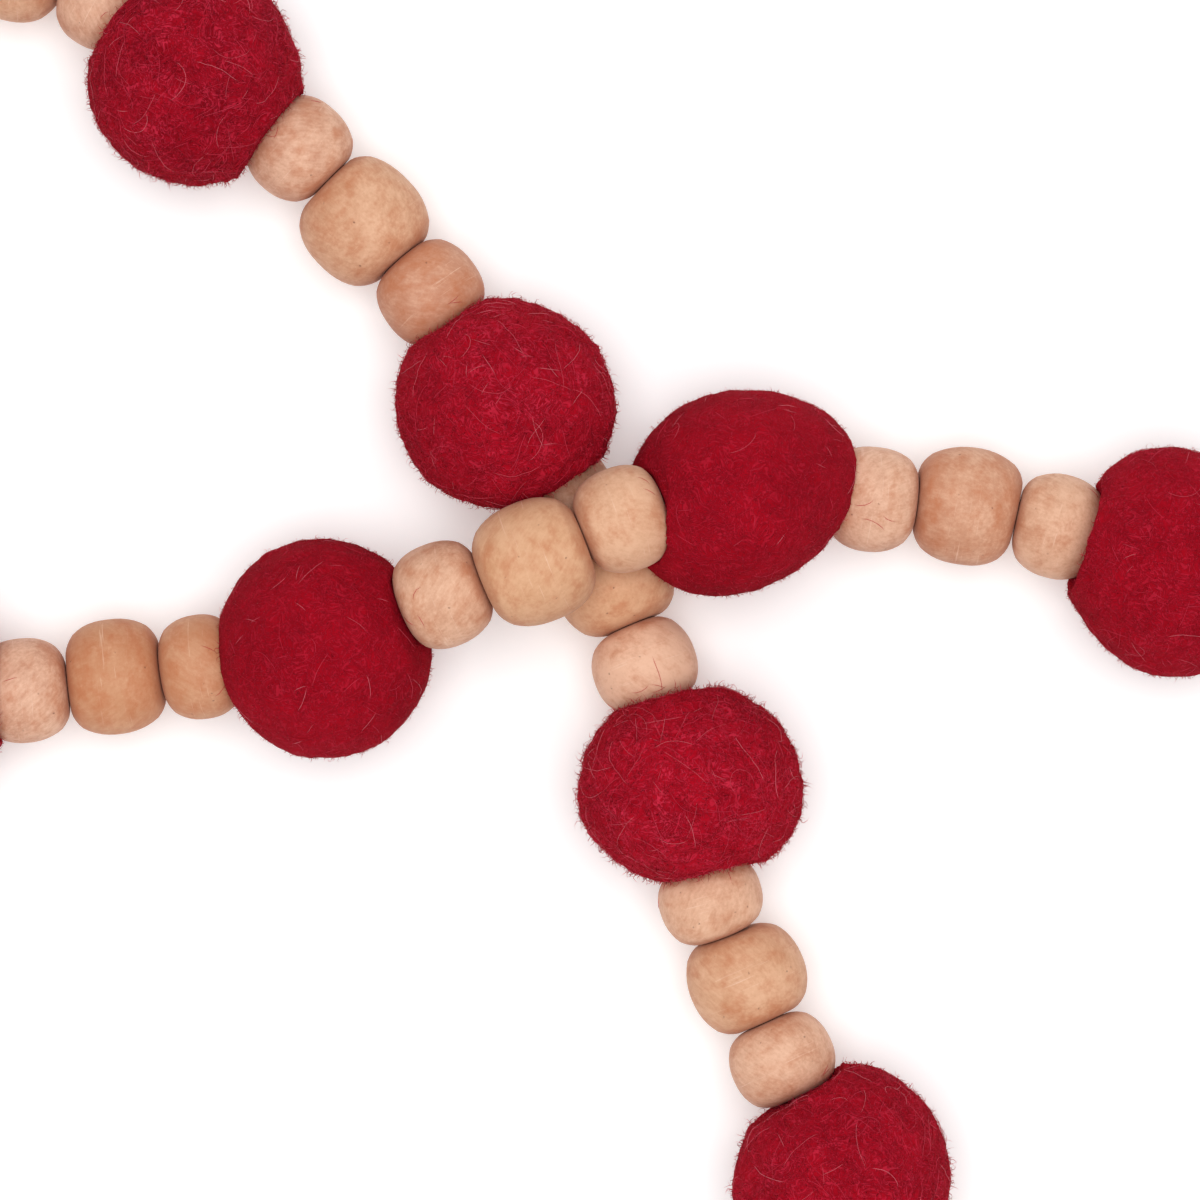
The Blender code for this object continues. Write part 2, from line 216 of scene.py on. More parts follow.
def lay_pieces(places, middles, touches):
    """Each piece as it lies. A large bead slides along the string to be midway between its two."""
    ways = ways_along(middles)
    lain = []
    for i, place in enumerate(places):
        middle = middles[i].copy()
        if place.kind == LARGE:
            middle += ways[i] * ways[i].dot((touches[i - 1] + touches[i]) / 2 - middle)
        rooms = []
        for neighbour, touch in ((i - 1, i - 1), (i + 1, i)):
            if 0 <= neighbour < len(places) and FELT not in (place.kind, places[neighbour].kind):
                rooms.append(room_beside(place, middle, ways[i], ways[neighbour], touches[touch]))
        half = min(rooms, default=REACH[place.kind] * place.girth - GAP / 2)
        lain.append(Lain(place.kind, middle, ways[i], half, place.girth))
    return lain


middles = [Vector((place.x, place.y, place.z)) + CENTRE_SHIFT for place in places]
touches = [touch_point(places, middles, i) for i in range(len(places) - 1)]
lain = lay_pieces(places, middles, touches)
print("bead lengths:", sorted({round(2 * piece.half, 1) for piece in lain if piece.kind != FELT}))

# %% [markdown]
# ## The line of the string
# Inside a piece the string is straight, so it bends only between pieces, where two bores meet.
# Each piece gets a frame of its own: local Z along it, and local Y near to up. Every shape below
# is modelled round the origin in millimetres and moved by its frame.

# %% Bends and frames
def string_points(lain):
    """Where the string bends: between each two pieces, and past each end piece."""
    first, last = lain[0], lain[-1]
    points = [first.middle - first.way * (first.half + GAP)]
    for before, after in zip(lain, lain[1:]):
        leaves = before.middle + before.way * before.half
        enters = after.middle - after.way * after.half
        if before.kind == FELT:
            points.append(enters - after.way * GAP)
        elif after.kind == FELT:
            points.append(leaves + before.way * GAP)
        else:
            points.append((leaves + enters) / 2)
    points.append(last.middle + last.way * (last.half + GAP))
    return points


def piece_frame(middle, way):
    """A matrix with local +Z along the string, local +Y as near to up as it can be."""
    along = way.normalized()
    across = Vector((0, 0, 1)).cross(along).normalized()
    up = along.cross(across)
    turn = Matrix((across, up, along)).transposed().to_4x4()
    return Matrix.Translation(middle) @ turn


# The real beads touch. So where two beads meet, both end this far from the plane between them,
# although their solids keep more room and straight ends.
SNUG = 0.04
Piece = namedtuple("Piece", "name kind number frame half girth planes")


def meeting_plane(i, neighbour, frame_matrix):
    """The plane between two beads in the first one's frame: a point on it, and its normal."""
    if not 0 <= neighbour < len(lain) or FELT in (lain[i].kind, lain[neighbour].kind):
        return None
    back = frame_matrix.inverted()
    normal = (lain[i].way + lain[neighbour].way).normalized()
    return back @ touches[min(i, neighbour)], back.to_3x3() @ normal


points = string_points(lain)
pieces = []
counts = {FELT: 0, SMALL: 0, LARGE: 0}
for i, (row, start, end) in enumerate(zip(lain, points, points[1:])):
    counts[row.kind] += 1
    name = f"{row.kind}_{counts[row.kind]:02d}"
    way = end - start if row.kind == FELT else row.way
    place = piece_frame(row.middle, way)
    planes = [meeting_plane(i, neighbour, place) for neighbour in (i - 1, i + 1)]
    pieces.append(Piece(name, row.kind, counts[row.kind], place, row.half, row.girth, planes))

strays = []
for piece in pieces:
    low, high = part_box(piece.name)
    box_middle = (Vector(low) + Vector(high)) / 2 / MM
    strays.append((piece.frame.translation - box_middle).length)
print("counts:", counts, "furthest from its solid's middle:", round(max(strays), 2), "mm")

# %% [markdown]
# ## Shader maths in Python
# A procedural material is a formula over the surface. Wired by hand it is a web of Math nodes, and
# written here it reads as maths: `Value` wraps a node's socket, and each operator on it adds one
# Math node. `Finish` owns a material and adds every other kind of node through one method.

# %% Materials as formulas
class Value:
    """A number, colour or vector that varies over the surface."""

    def __init__(self, finish, socket):
        self.finish = finish
        self.socket = socket

    def _math(self, operation, *terms):
        inputs = dict(enumerate(terms))
        return self.finish.node("ShaderNodeMath", {"operation": operation}, inputs)

    def __add__(self, other):
        return self._math("ADD", self, other)

    def __sub__(self, other):
        return self._math("SUBTRACT", self, other)

    def __rsub__(self, other):
        return self._math("SUBTRACT", other, self)

    def __mul__(self, other):
        return self._math("MULTIPLY", self, other)

    __radd__ = __add__
    __rmul__ = __mul__

    def clamp(self):
        """The value held between 0 and 1."""
        node = self._math("ADD", self, 0.0)
        node.socket.node.use_clamp = True
        return node

    def between(self, low, high):
        """0 below low, 1 above high, and smooth between them."""
        settings = {"interpolation_type": "SMOOTHSTEP"}
        return self.finish.node("ShaderNodeMapRange", settings, {0: self, 1: low, 2: high})


class Finish:
    """A material: its Principled shader, with constants set on it, and the nodes that feed it."""

    def __init__(self, name, **constants):
        self.material = bpy.data.materials.new(name)
        self.material.use_nodes = True
        self.tree = self.material.node_tree
        self.shader = self.tree.nodes["Principled BSDF"]
        for key, constant in constants.items():
            self.shader.inputs[key.replace("_", " ")].default_value = constant

    def node(self, kind, settings, inputs, output=0):
        """A node of any kind: its settings are set first, then its sockets are set or linked."""
        node = self.tree.nodes.new(kind)
        for key, setting in settings.items():
            setattr(node, key, setting)
        for key, value in inputs.items():
            if isinstance(value, Value):
                self.tree.links.new(value.socket, node.inputs[key])
            else:
                node.inputs[key].default_value = value
        return Value(self, node.outputs[output])

    def noise(self, place, scale, detail=2.0, roughness=0.5, output=0):
        inputs = {"Vector": place, "Scale": scale, "Detail": detail, "Roughness": roughness}
        return self.node("ShaderNodeTexNoise", {}, inputs, output)

    def mix(self, share, first, second):
        """Two colours mixed by share."""
        return self.node("ShaderNodeMix", {"data_type": "RGBA"}, {0: share, 6: first, 7: second}, 2)

    def move(self, place, turn=(0, 0, 0), scale=(1, 1, 1)):
        """A place turned round the origin, or stretched where its scale is small."""
        return self.node("ShaderNodeMapping", {}, {"Vector": place, "Rotation": turn, "Scale": scale})

    def object_place(self):
        return self.node("ShaderNodeTexCoord", {}, {}, "Object")

    def attribute(self, name, output="Fac"):
        return self.node("ShaderNodeAttribute", {"attribute_name": name}, {}, output)

    def bump(self, height, strength, depth):
        return self.node("ShaderNodeBump", {}, {"Strength": strength, "Distance": depth, "Height": height})

    def feed(self, key, value):
        self.tree.links.new(value.socket, self.shader.inputs[key])


def srgb(red, green, blue):
    """A colour given as 0 to 255 numbers, as the linear colour that a shader takes."""
    linear = []
    for channel in (red, green, blue):
        share = channel / 255
        linear.append(share / 12.92 if share <= 0.04045 else ((share + 0.055) / 1.055) ** 2.4)
    return (*linear, 1.0)


print("crimson in linear light:", [round(channel, 3) for channel in srgb(148, 24, 37)])

# %% [markdown]
# ## The finish of wool felt
# Felt has no weave. It is a mat of fine fibres lying every way, so close up it shows short curved
# strokes, some paler, over a mottled crimson. Noise stretched far along one way gives thin strokes,
# so a few such layers, each turned another way, make the mat, and bending the space they lie in
# curves them. The same strokes raise the bump, and a little sheen gives the soft edge wool has.

# %% Wool felt
DEEP, CRIMSON, BRIGHT = srgb(118, 5, 17), srgb(165, 10, 28), srgb(192, 20, 44)
STROKE_TINT = srgb(208, 48, 74)
SHEEN_TINT = srgb(222, 70, 96)
# Each layer of strokes: the way it is turned, and how many strokes wide a metre is.
Strokes = namedtuple("Strokes", "turn scale")
STROKES = [
    Strokes((0.0, 0.0, 0.0), 4200), Strokes((1.5, 0.2, 0.4), 3600), Strokes((0.3, 1.5, 0.9), 4800),
    Strokes((0.8, 0.7, 0.1), 3900), Strokes((2.2, 0.9, 1.3), 4400), Strokes((1.1, 2.1, 0.5), 3300),
]
STROKE_STRETCH = (1.0, 1.0, 0.075)


def felt_finish(name):
    finish = Finish(name, Roughness=0.95, Specular_IOR_Level=0.04, Sheen_Weight=0.07,
                    Sheen_Roughness=0.5, Sheen_Tint=SHEEN_TINT)
    place = finish.object_place()
    loose, tone = finish.attribute("loose"), finish.attribute("tone")
    wander = finish.noise(place, 260, detail=1, output=1)
    bent = finish.node("ShaderNodeVectorMath", {"operation": "MULTIPLY_ADD"},
                       {0: wander, 1: (0.006, 0.006, 0.006), 2: place})
    strokes = None
    for row in STROKES:
        laid = finish.move(finish.move(bent, turn=row.turn), scale=STROKE_STRETCH)
        line = finish.noise(laid, row.scale, detail=1, roughness=0.4).between(0.58, 0.72)
        strokes = line if strokes is None else strokes + line
    strokes = strokes.clamp()
    mottle = finish.noise(place, 190, detail=4, roughness=0.62).between(0.32, 0.66)
    speckle = finish.noise(place, 1700, detail=3, roughness=0.65).between(0.32, 0.72)
    pale_here = finish.noise(place, 300, detail=2).between(0.40, 0.72)
    colour = finish.mix((mottle - 0.5) * (0.25 + loose * 0.30) + tone * 0.25 + 0.57, DEEP, CRIMSON)
    colour = finish.mix(speckle * (0.20 + loose * 0.15), colour, BRIGHT)
    colour = finish.mix(strokes * (0.12 + (0.12 + pale_here * 0.24) * loose), colour, STROKE_TINT)
    finish.feed("Base Color", colour)
    height = strokes * 0.8 + speckle * 0.4 + mottle * 0.3
    finish.feed("Normal", finish.bump(height, 0.75, 0.00022))
    return finish.material


felt_material = felt_finish("crimson_wool_felt")
print("felt nodes:", len(felt_material.node_tree.nodes))

# %% [markdown]
# ## The finish of loose fibres
# The fibres that stand off the ball are real strands of mesh. Most are as red as the felt, and some
# catch the light and look pink. Each strand stores one random number, named tone, and its colour
# comes from that.

# %% Loose fibres
FIBRE_RED, FIBRE_PINK, FIBRE_PALE = srgb(184, 18, 40), srgb(204, 50, 74), srgb(220, 112, 124)


def fibre_finish(name):
    finish = Finish(name, Roughness=0.75, Specular_IOR_Level=0.15, Sheen_Weight=0.05,
                    Sheen_Roughness=0.5, Sheen_Tint=SHEEN_TINT)
    tone = finish.attribute("tone")
    colour = finish.mix(tone.between(0.0, 0.45), CRIMSON, FIBRE_RED)
    colour = finish.mix(tone.between(0.50, 0.70), colour, FIBRE_PINK)
    colour = finish.mix(tone.between(0.78, 1.0), colour, FIBRE_PALE)
    finish.feed("Base Color", colour)
    return finish.material


fibre_material = fibre_finish("loose_wool_fibre")
print("fibre nodes:", len(fibre_material.node_tree.nodes))

# %% [markdown]
# ## The finish of bare turned wood
# These beads are turned from a pale wood, sanded and left bare. They are cloudy more than streaky:
# warm stains gather towards the ends, faint lathe lines run round the waist, and a few pits are
# dark. No two have quite the same tone, and the large ones are yellower. The pattern has to turn
# with each bead, so every bead stores its own local place as an attribute, in millimetres and
# shifted at random, with its tone, how golden it is, and how close to an end each point is.

# %% Bare wood
WOOD_PALE, WOOD_MID, WOOD_GOLD = srgb(234, 189, 161), srgb(196, 141, 114), srgb(208, 155, 106)
WOOD_STAIN, WOOD_PIT, WOOD_SCRATCH = srgb(188, 112, 72), srgb(112, 70, 50), srgb(246, 214, 190)
# WOOD_END darkens the last stretch towards each end, where the beads meet.
WOOD_END = srgb(164, 100, 72)


def wood_finish(name):
    finish = Finish(name, Specular_IOR_Level=0.25, Sheen_Weight=0.05, Sheen_Roughness=0.5)
    place = finish.attribute("turned_place", "Vector")
    tone, gold, end = (finish.attribute(name) for name in ("tone", "gold", "end"))
    leaning = finish.move(place, turn=(0.7, 0.2, 0.0))
    streaks = finish.noise(finish.move(leaning, scale=(2.4, 2.4, 0.5)), 1.0, detail=4, roughness=0.6)
    rings = finish.noise(finish.move(place, scale=(0.16, 0.16, 4.2)), 1.0, detail=2, roughness=0.6)
    clouds = finish.noise(place, 0.30, detail=3, roughness=0.55)
    blots = finish.noise(finish.move(place, scale=(0.40, 0.40, 0.60)), 1.0, detail=5, roughness=0.62)
    fine = finish.noise(place, 3.6, detail=3, roughness=0.7)
    pores = finish.node("ShaderNodeTexVoronoi", {}, {"Vector": place, "Scale": 0.5}, "Distance")
    pit = (1 - pores.between(0.02, 0.10)) * fine.between(0.42, 0.56)
    base = (streaks * 0.42 + clouds * 0.62 + fine * 0.32 - tone * 0.20).between(0.42, 0.96)
    colour = finish.mix(base, WOOD_PALE, WOOD_MID)
    colour = finish.mix(gold * 0.65, colour, WOOD_GOLD)
    colour = finish.mix((0 - tone).clamp() * 0.28, colour, WOOD_STAIN)
    stain = (blots * 0.85 + streaks * 0.15 + end * 0.12 - tone * 0.08).between(0.44, 0.82)
    colour = finish.mix(stain * 0.72, colour, WOOD_STAIN)
    scratch = rings.between(0.62, 0.74) * (1 - end).between(0.40, 0.80)
    colour = finish.mix(scratch * 0.35, colour, WOOD_SCRATCH)
    colour = finish.mix(pit * 0.7, colour, WOOD_PIT)
    # The last stretch towards each end, where the beads meet, is made darker brown.
    colour = finish.mix(end.between(0.84, 1.0) * 0.30, colour, WOOD_END)
    finish.feed("Base Color", colour)
    finish.feed("Roughness", 0.58 + fine * 0.14)
    height = rings * 0.35 + fine * 0.40 + streaks * 0.25 - pit * 1.2
    finish.feed("Normal", finish.bump(height, 0.25, 0.00012))
    return finish.material


wood_material = wood_finish("bare_turned_wood")
print("wood nodes:", len(wood_material.node_tree.nodes))

# %% [markdown]
# ## The finish of the string
# The string is unbleached cotton. Its twist is in the mesh, so the finish only needs the tone of
# raw cotton, with fine darker flecks between its fibres.

# %% Cotton string
COTTON_LIGHT, COTTON_DARK = srgb(198, 168, 132), srgb(148, 116, 86)


def cotton_finish(name):
    finish = Finish(name, Roughness=0.9, Specular_IOR_Level=0.2, Sheen_Weight=0.25, Sheen_Roughness=0.5)
    place = finish.object_place()
    fleck = finish.noise(place, 2600, detail=3, roughness=0.65).between(0.35, 0.70)
    cloud = finish.noise(place, 300, detail=2).between(0.35, 0.65)
    finish.feed("Base Color", finish.mix(fleck * 0.55 + cloud * 0.25, COTTON_LIGHT, COTTON_DARK))
    finish.feed("Normal", finish.bump(fleck, 0.4, 0.0001))
    return finish.material


cotton_material = cotton_finish("raw_cotton")
print("cotton nodes:", len(cotton_material.node_tree.nodes))

# %% [markdown]
# ## From a shape to a piece
# Every solid piece is modelled in millimetres round its own middle. One helper moves it to its
# place, turns millimetres into metres and makes the object, so each object itself stays at the
# origin. Strings and fibres start as curves, and strands as a node tree. For those, a helper object
# is turned into a mesh and taken away again.

# %% Making a piece
def make_piece(name, shape, place, material, replaced=()):
    """The finished object of a bmesh: placed, welded to body root, standing for its CAD nodes."""
    bmesh.ops.transform(shape, matrix=Matrix.Scale(MM, 4) @ place, verts=shape.verts)
    mesh = bpy.data.meshes.new(name)
    shape.to_mesh(mesh)
    shape.free()
    return mesh_piece(name, mesh, material, replaced)


def mesh_piece(name, mesh, material, replaced=()):
    mesh.materials.clear()
    mesh.materials.append(material)
    mesh.shade_smooth()
    thing = bpy.data.objects.new(name, mesh)
    bpy.context.scene.collection.objects.link(thing)
    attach(thing, "root")
    if replaced:
        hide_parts(*replaced)
    return thing


def mesh_of(helper):
    """The mesh that a helper object shows, once its modifiers or its sweep are worked out."""
    bpy.context.scene.collection.objects.link(helper)
    evaluated = helper.evaluated_get(bpy.context.evaluated_depsgraph_get())
    mesh = bpy.data.meshes.new_from_object(evaluated)
    bpy.data.objects.remove(helper, do_unlink=True)
    return mesh


def close_seams(mesh, distance):
    """Merges points that lie together and turns the faces outwards."""
    shape = bmesh.new()
    shape.from_mesh(mesh)
    bmesh.ops.remove_doubles(shape, verts=shape.verts, dist=distance)
    bmesh.ops.recalc_face_normals(shape, faces=shape.faces)
    shape.to_mesh(mesh)
    shape.free()


def swept_curve(name, outline):
    """An empty curve that an outline is swept along."""
    curve = bpy.data.curves.new(name, "CURVE")
    curve.dimensions = "3D"
    curve.bevel_mode = "OBJECT"
    curve.bevel_object = outline
    return curve


def closed_outline(name, radii):
    """A flat closed curve for sweeping, with a point at each radius in millimetres."""
    curve = bpy.data.curves.new(name, "CURVE")
    curve.dimensions = "2D"
    spline = curve.splines.new("POLY")
    spline.points.add(len(radii) - 1)
    for number, (radius, point) in enumerate(zip(radii, spline.points)):
        angle = 2 * math.pi * number / len(radii)
        point.co = (radius * math.cos(angle) * MM, radius * math.sin(angle) * MM, 0, 1)
    spline.use_cyclic_u = True
    outline = bpy.data.objects.new(name, curve)
    bpy.context.scene.collection.objects.link(outline)
    return outline


def surface_tree(mesh):
    """A search tree that finds the nearest point of a mesh's surface."""
    shape = bmesh.new()
    shape.from_mesh(mesh)
    tree = BVHTree.FromBMesh(shape)
    shape.free()
    return tree


def triangle_count(mesh):
    return sum(len(face.vertices) - 2 for face in mesh.polygons)


# %% [markdown]
# ## The wooden beads
# A bead is turned: half of its outline is drawn and spun round the bore. The outline is a round
# drum between two flat ends, with rounded shoulders and a bore through the middle. Spinning it makes
# a better bead than a squashed sphere would, because the bore and the flat ends are really there.
# Beads on a bent string meet at an angle, so each end is then tilted onto the plane that it shares
# with the next bead.

# %% Turned beads
BEAD_RADIUS = {SMALL: 6.05, LARGE: 7.0}
BEAD_BORE_RADIUS = 1.6
BEAD_FULLNESS = 2.4
BEAD_RIM = 0.4
# How far the rounding of a shoulder reaches from the corner, inwards and down the side.
SHOULDER = 1.3
SHOULDER_STEPS = 5
DRUM_STEPS = 20
BEAD_SEGMENTS = 52
BEAD_WOBBLE = 0.10


def rounded(share):
    """The other side of a full round: 1 at share 0, and falling to 0 at share 1."""
    return (1 - share ** BEAD_FULLNESS) ** (1 / BEAD_FULLNESS)


def drum_radius(kind, step):
    """A bead's radius at a step from -1 at its bottom end to 1 at its top end."""
    radius, end_radius = BEAD_RADIUS[kind], BEAD_END_RADIUS[kind]
    return radius * rounded(rounded(end_radius / radius) * abs(step))


def bead_outline(piece):
    """The outline as points of radius and height, from the top of the bore round to the bottom."""
    drum = []
    for step in range(DRUM_STEPS + 1):
        share = math.sin(math.pi / 2 * (1 - 2 * step / DRUM_STEPS))
        drum.append(Vector((drum_radius(piece.kind, share) * piece.girth, piece.half * share)))
    corner = drum[0]
    foot = corner * Vector((1, -1))
    drum = [point for point in drum if min((point - corner).length, (point - foot).length) > SHOULDER]
    top = [Vector((BEAD_BORE_RADIUS, piece.half - BEAD_RIM)),
           Vector((BEAD_BORE_RADIUS + BEAD_RIM * 0.3, piece.half - BEAD_RIM * 0.3)),
           Vector((BEAD_BORE_RADIUS + BEAD_RIM, piece.half))]
    flat_edge = corner - Vector((SHOULDER, 0))
    for step in range(SHOULDER_STEPS):
        share = step / SHOULDER_STEPS
        top.append(flat_edge.lerp(corner, share).lerp(corner.lerp(drum[0], share), share))
    return top + drum + [Vector((point.x, -point.y)) for point in reversed(top)]


def meet_neighbours(shape, piece):
    """Tilts and moves each end onto the plane where the next bead begins, less towards the waist."""
    for vertex in shape.verts:
        side = 1 if vertex.co.z > 0 else -1
        plane = piece.planes[0 if side < 0 else 1]
        if plane is not None:
            point, normal = plane
            across = normal.x * (vertex.co.x - point.x) + normal.y * (vertex.co.y - point.y)
            target = point.z - across / normal.z - side * SNUG
            share = (abs(vertex.co.z) / piece.half) ** 3
            vertex.co.z += (target - side * piece.half) * share


def turn_bead(piece, rng):
    """A bead of bmesh: its outline spun round the bore, closed down the bore, a little uneven."""
    shape = bmesh.new()
    outline = [shape.verts.new((point.x, 0, point.y)) for point in bead_outline(piece)]
    edges = [shape.edges.new(pair) for pair in zip(outline, outline[1:] + outline[:1])]
    bmesh.ops.spin(shape, geom=outline + edges, cent=(0, 0, 0), axis=(0, 0, 1), dvec=(0, 0, 0),
                   angle=2 * math.pi, steps=BEAD_SEGMENTS, use_merge=True, use_duplicate=False)
    bmesh.ops.remove_doubles(shape, verts=shape.verts, dist=0.001)
    bmesh.ops.recalc_face_normals(shape, faces=shape.faces)
    drift = Vector((rng.uniform(0, 50), rng.uniform(0, 50), rng.uniform(0, 50)))
    for vertex in shape.verts:
        out = Vector((vertex.co.x, vertex.co.y, 0))
        if out.length > BEAD_END_RADIUS[piece.kind]:
            vertex.co += out.normalized() * BEAD_WOBBLE * noise.noise(vertex.co * 0.22 + drift)
    meet_neighbours(shape, piece)
    return shape


# How pale and how golden the beads are that stand out from the rest.
BEAD_TONES = {
    "small_bead_04": (0.9, 0.1), "small_bead_06": (-0.7, 0.0), "small_bead_16": (0.05, 0.0),
    "small_bead_17": (-0.6, 0.6), "large_bead_08": (-0.7, 0.7), "large_bead_09": (0.3, 0.8),
    "small_bead_19": (0.4, 0.5), "large_bead_02": (0.4, 0.8), "small_bead_05": (-0.3, 0.0),
    "large_bead_10": (-0.4, 0.2), "small_bead_18": (0.1, 0.2), "large_bead_01": (0.1, 0.6),
    "small_bead_20": (0.25, 0.05), "large_bead_03": (0.0, 0.5),
}
BEAD_NUMBERS = ("tone", "gold", "end")


def store_grain(mesh, piece, rng):
    """Each point's place on the bead, for the grain, with how near an end it is, and its tone."""
    mesh.attributes.new("turned_place", "FLOAT_VECTOR", "POINT")
    for name in BEAD_NUMBERS:
        mesh.attributes.new(name, "FLOAT", "POINT")
    back = piece.frame.inverted()
    spin = Matrix.Rotation(rng.uniform(0, 2 * math.pi), 4, "Z")
    shift = Vector((rng.uniform(0, 300), rng.uniform(0, 300), rng.uniform(0, 300)))
    usual = (rng.uniform(-0.3, 0.4), 0.45 if piece.kind == LARGE else rng.uniform(0.0, 0.25))
    tone, gold = BEAD_TONES.get(piece.name, usual)
    grain, numbers = [], {name: [] for name in BEAD_NUMBERS}
    for vertex in mesh.vertices:
        local = back @ (vertex.co / MM)
        grain.extend(spin @ local + shift)
        numbers["tone"].append(tone)
        numbers["gold"].append(gold)
        numbers["end"].append(min(1.0, abs(local.z) / piece.half))
    mesh.attributes["turned_place"].data.foreach_set("vector", grain)
    for name in BEAD_NUMBERS:
        mesh.attributes[name].data.foreach_set("value", numbers[name])


beads = [piece for piece in pieces if piece.kind != FELT]
for piece in beads:
    rng = random.Random(f"bead {piece.name}")
    shape = turn_bead(piece, rng)
    thing = make_piece(f"wood_{piece.name}", shape, piece.frame, wood_material, [piece.name])
    store_grain(thing.data, piece, rng)
print("beads:", len(beads), "triangles each:", triangle_count(thing.data))

# %% [markdown]
# ## The body of a felt ball
# A felt ball could be a sphere, but hand-rolled felt never is. A fine icosphere has even faces all
# over, so each of its points is moved out by the ball's own sizes, its slow lumps and a fine
# relief. The beads on a tight string also press each ball broad and flat at both ends, much wider
# than a bead, so the points there are held back at a facet with a soft edge.

# %% Felt ball shapes
# Besides the sizes of its solid, a ball has how loosely it is felted, how bright it is beside the
# others, and how far from its middle the beads before and after it have pressed it flat.
Felt = namedtuple("Felt", "across along tall taper slant seed loose tone before after")
FELT_BALLS = [
    Felt(12.7, 12.8, 12.8, 0.02, -0.02, 11, 1.2, 0.0, 10.4, 10.6),
    Felt(12.9, 11.7, 12.6, 0.01, 0.03, 12, 1.7, 0.6, 10.3, 10.4),
    Felt(12.2, 12.4, 12.7, -0.02, 0.01, 13, 1.3, 0.1, 10.8, 11.6),
    Felt(12.5, 12.5, 12.9, -0.03, -0.05, 14, 1.4, -1.0, 10.5, 10.6),
    Felt(12.4, 12.3, 12.9, 0.02, 0.00, 15, 1.0, -0.1, 10.6, 10.6),
    Felt(12.6, 12.0, 12.6, -0.03, 0.02, 16, 0.9, 0.1, 10.4, 10.8),
    Felt(12.3, 12.5, 12.9, 0.02, 0.00, 17, 0.8, -0.2, 10.8, 10.6),
    Felt(12.6, 12.4, 12.8, 0.00, 0.00, 18, 0.8, 0.0, 10.6, 10.8),
    Felt(12.5, 12.5, 13.0, 0.04, -0.01, 19, 0.35, 0.0, 11.4, 10.9),
    Felt(11.6, 13.6, 14.2, 0.19, 0.09, 20, 0.35, 0.0, 12.4, 11.6),
    Felt(13.0, 12.6, 12.7, 0.03, -0.01, 21, 0.6, -0.1, 9.4, 10.6),
]
FELT_LUMP_WAVES = 5
FELT_LUMP = 0.013
FELT_LUMP_TURNS = (2.0, 4.5)
# A facet's edge is this soft. It is flat up to its radius, and gives way beyond it.
FACET_EDGE, FACET_RADIUS, FACET_RISE = 0.7, 5.8, 1.5
BALL_SUBDIVISIONS = 6
SEAT_RANGE = 20.5
SEAT_GAP = 0.05
# Fine relief: how many waves for each millimetre, and how high, from broad dents to single tufts.
RELIEF = [(0.16, 0.24), (0.42, 0.20), (0.9, 0.18), (2.1, 0.08)]


def felt_lumps(seed):
    """A few slow waves in different directions, which make each ball a little uneven."""
    rng = random.Random(seed)
    waves = []
    for _ in range(FELT_LUMP_WAVES):
        way = Vector((rng.gauss(0, 1), rng.gauss(0, 1), rng.gauss(0, 1))).normalized()
        waves.append((way * rng.uniform(*FELT_LUMP_TURNS), rng.uniform(0, 2 * math.pi)))

    def lump(direction):
        return FELT_LUMP * sum(math.sin(way.dot(direction) + phase) for way, phase in waves)

    return lump


def felt_body(piece, felt):
    """The ball before it is pressed: an icosphere moved out by sizes, lumps and relief."""
    shape = bmesh.new()
    bmesh.ops.create_icosphere(shape, subdivisions=BALL_SUBDIVISIONS, radius=1.0)
    lump = felt_lumps(felt.seed)
    slant = Vector((1, 0, 1)).normalized()
    level = Vector((1, 0, -1)).normalized()
    drift = Vector((felt.seed * 7.3, felt.seed * 3.1, felt.seed * 5.9))
    for vertex in shape.verts:
        way = vertex.co.normalized()
        narrow = 1.0 - felt.taper * way.z
        size = Vector((felt.across * narrow, felt.tall * narrow, felt.along))
        drawn = felt.slant * (way.dot(slant) ** 2 - way.dot(level) ** 2)
        point = way * size * (1.0 + drawn + lump(way))
        side, facet = (1, felt.after) if point.z > 0 else (-1, felt.before)
        facet += FACET_RISE * max(0.0, math.hypot(point.x, point.y) - FACET_RADIUS)
        over = abs(point.z) - facet + FACET_EDGE
        if over > 0:
            point.z = side * (facet - FACET_EDGE * math.exp(-over / FACET_EDGE))
        relief = sum(height * noise.noise(point * turns + drift) for turns, height in RELIEF)
        vertex.co = point + way * relief * (0.5 + 0.5 * felt.loose)
    return shape


# %% [markdown]
# ## Pressing the ball
# Wool gives way to wood. A point that would be inside a bead slides along the string towards the
# ball's middle until it is on the bead's surface, which leaves a round seat. A bead that only
# touches from the side pushes points straight out. The table presses the last small flat.

# %% Seats and flat spot
TABLE_CLEARANCE = 0.03


def drum_height(bead, radius):
    """How far along from its middle a bead's surface is, this far from its bore, or None past it."""
    full = BEAD_RADIUS[bead.kind] * bead.girth + SEAT_GAP
    end_radius = BEAD_END_RADIUS[bead.kind] * bead.girth
    half = bead.half + SEAT_GAP
    if radius >= full:
        return None
    if radius <= end_radius:
        return half
    return half * rounded(radius / full) / rounded(end_radius / full)


def press_seat(shape, piece, bead):
    """Moves the ball's points out of a bead on the same string, along the bead."""
    to_bead = bead.frame.inverted() @ piece.frame
    back = to_bead.inverted()
    side = 1.0 if to_bead.translation.z > 0 else -1.0
    for vertex in shape.verts:
        local = to_bead @ vertex.co
        height = drum_height(bead, math.hypot(local.x, local.y))
        if height is not None and local.z * side < height:
            local.z = side * height
            vertex.co = back @ local


def press_side(shape, piece, bead):
    """Moves the ball's points out of a bead that touches it from the side."""
    middle = piece.frame.inverted() @ bead.frame.translation
    clear = BEAD_RADIUS[bead.kind] * bead.girth + SEAT_GAP
    for vertex in shape.verts:
        away = vertex.co - middle
        if away.length < clear:
            vertex.co = middle + away.normalized() * clear


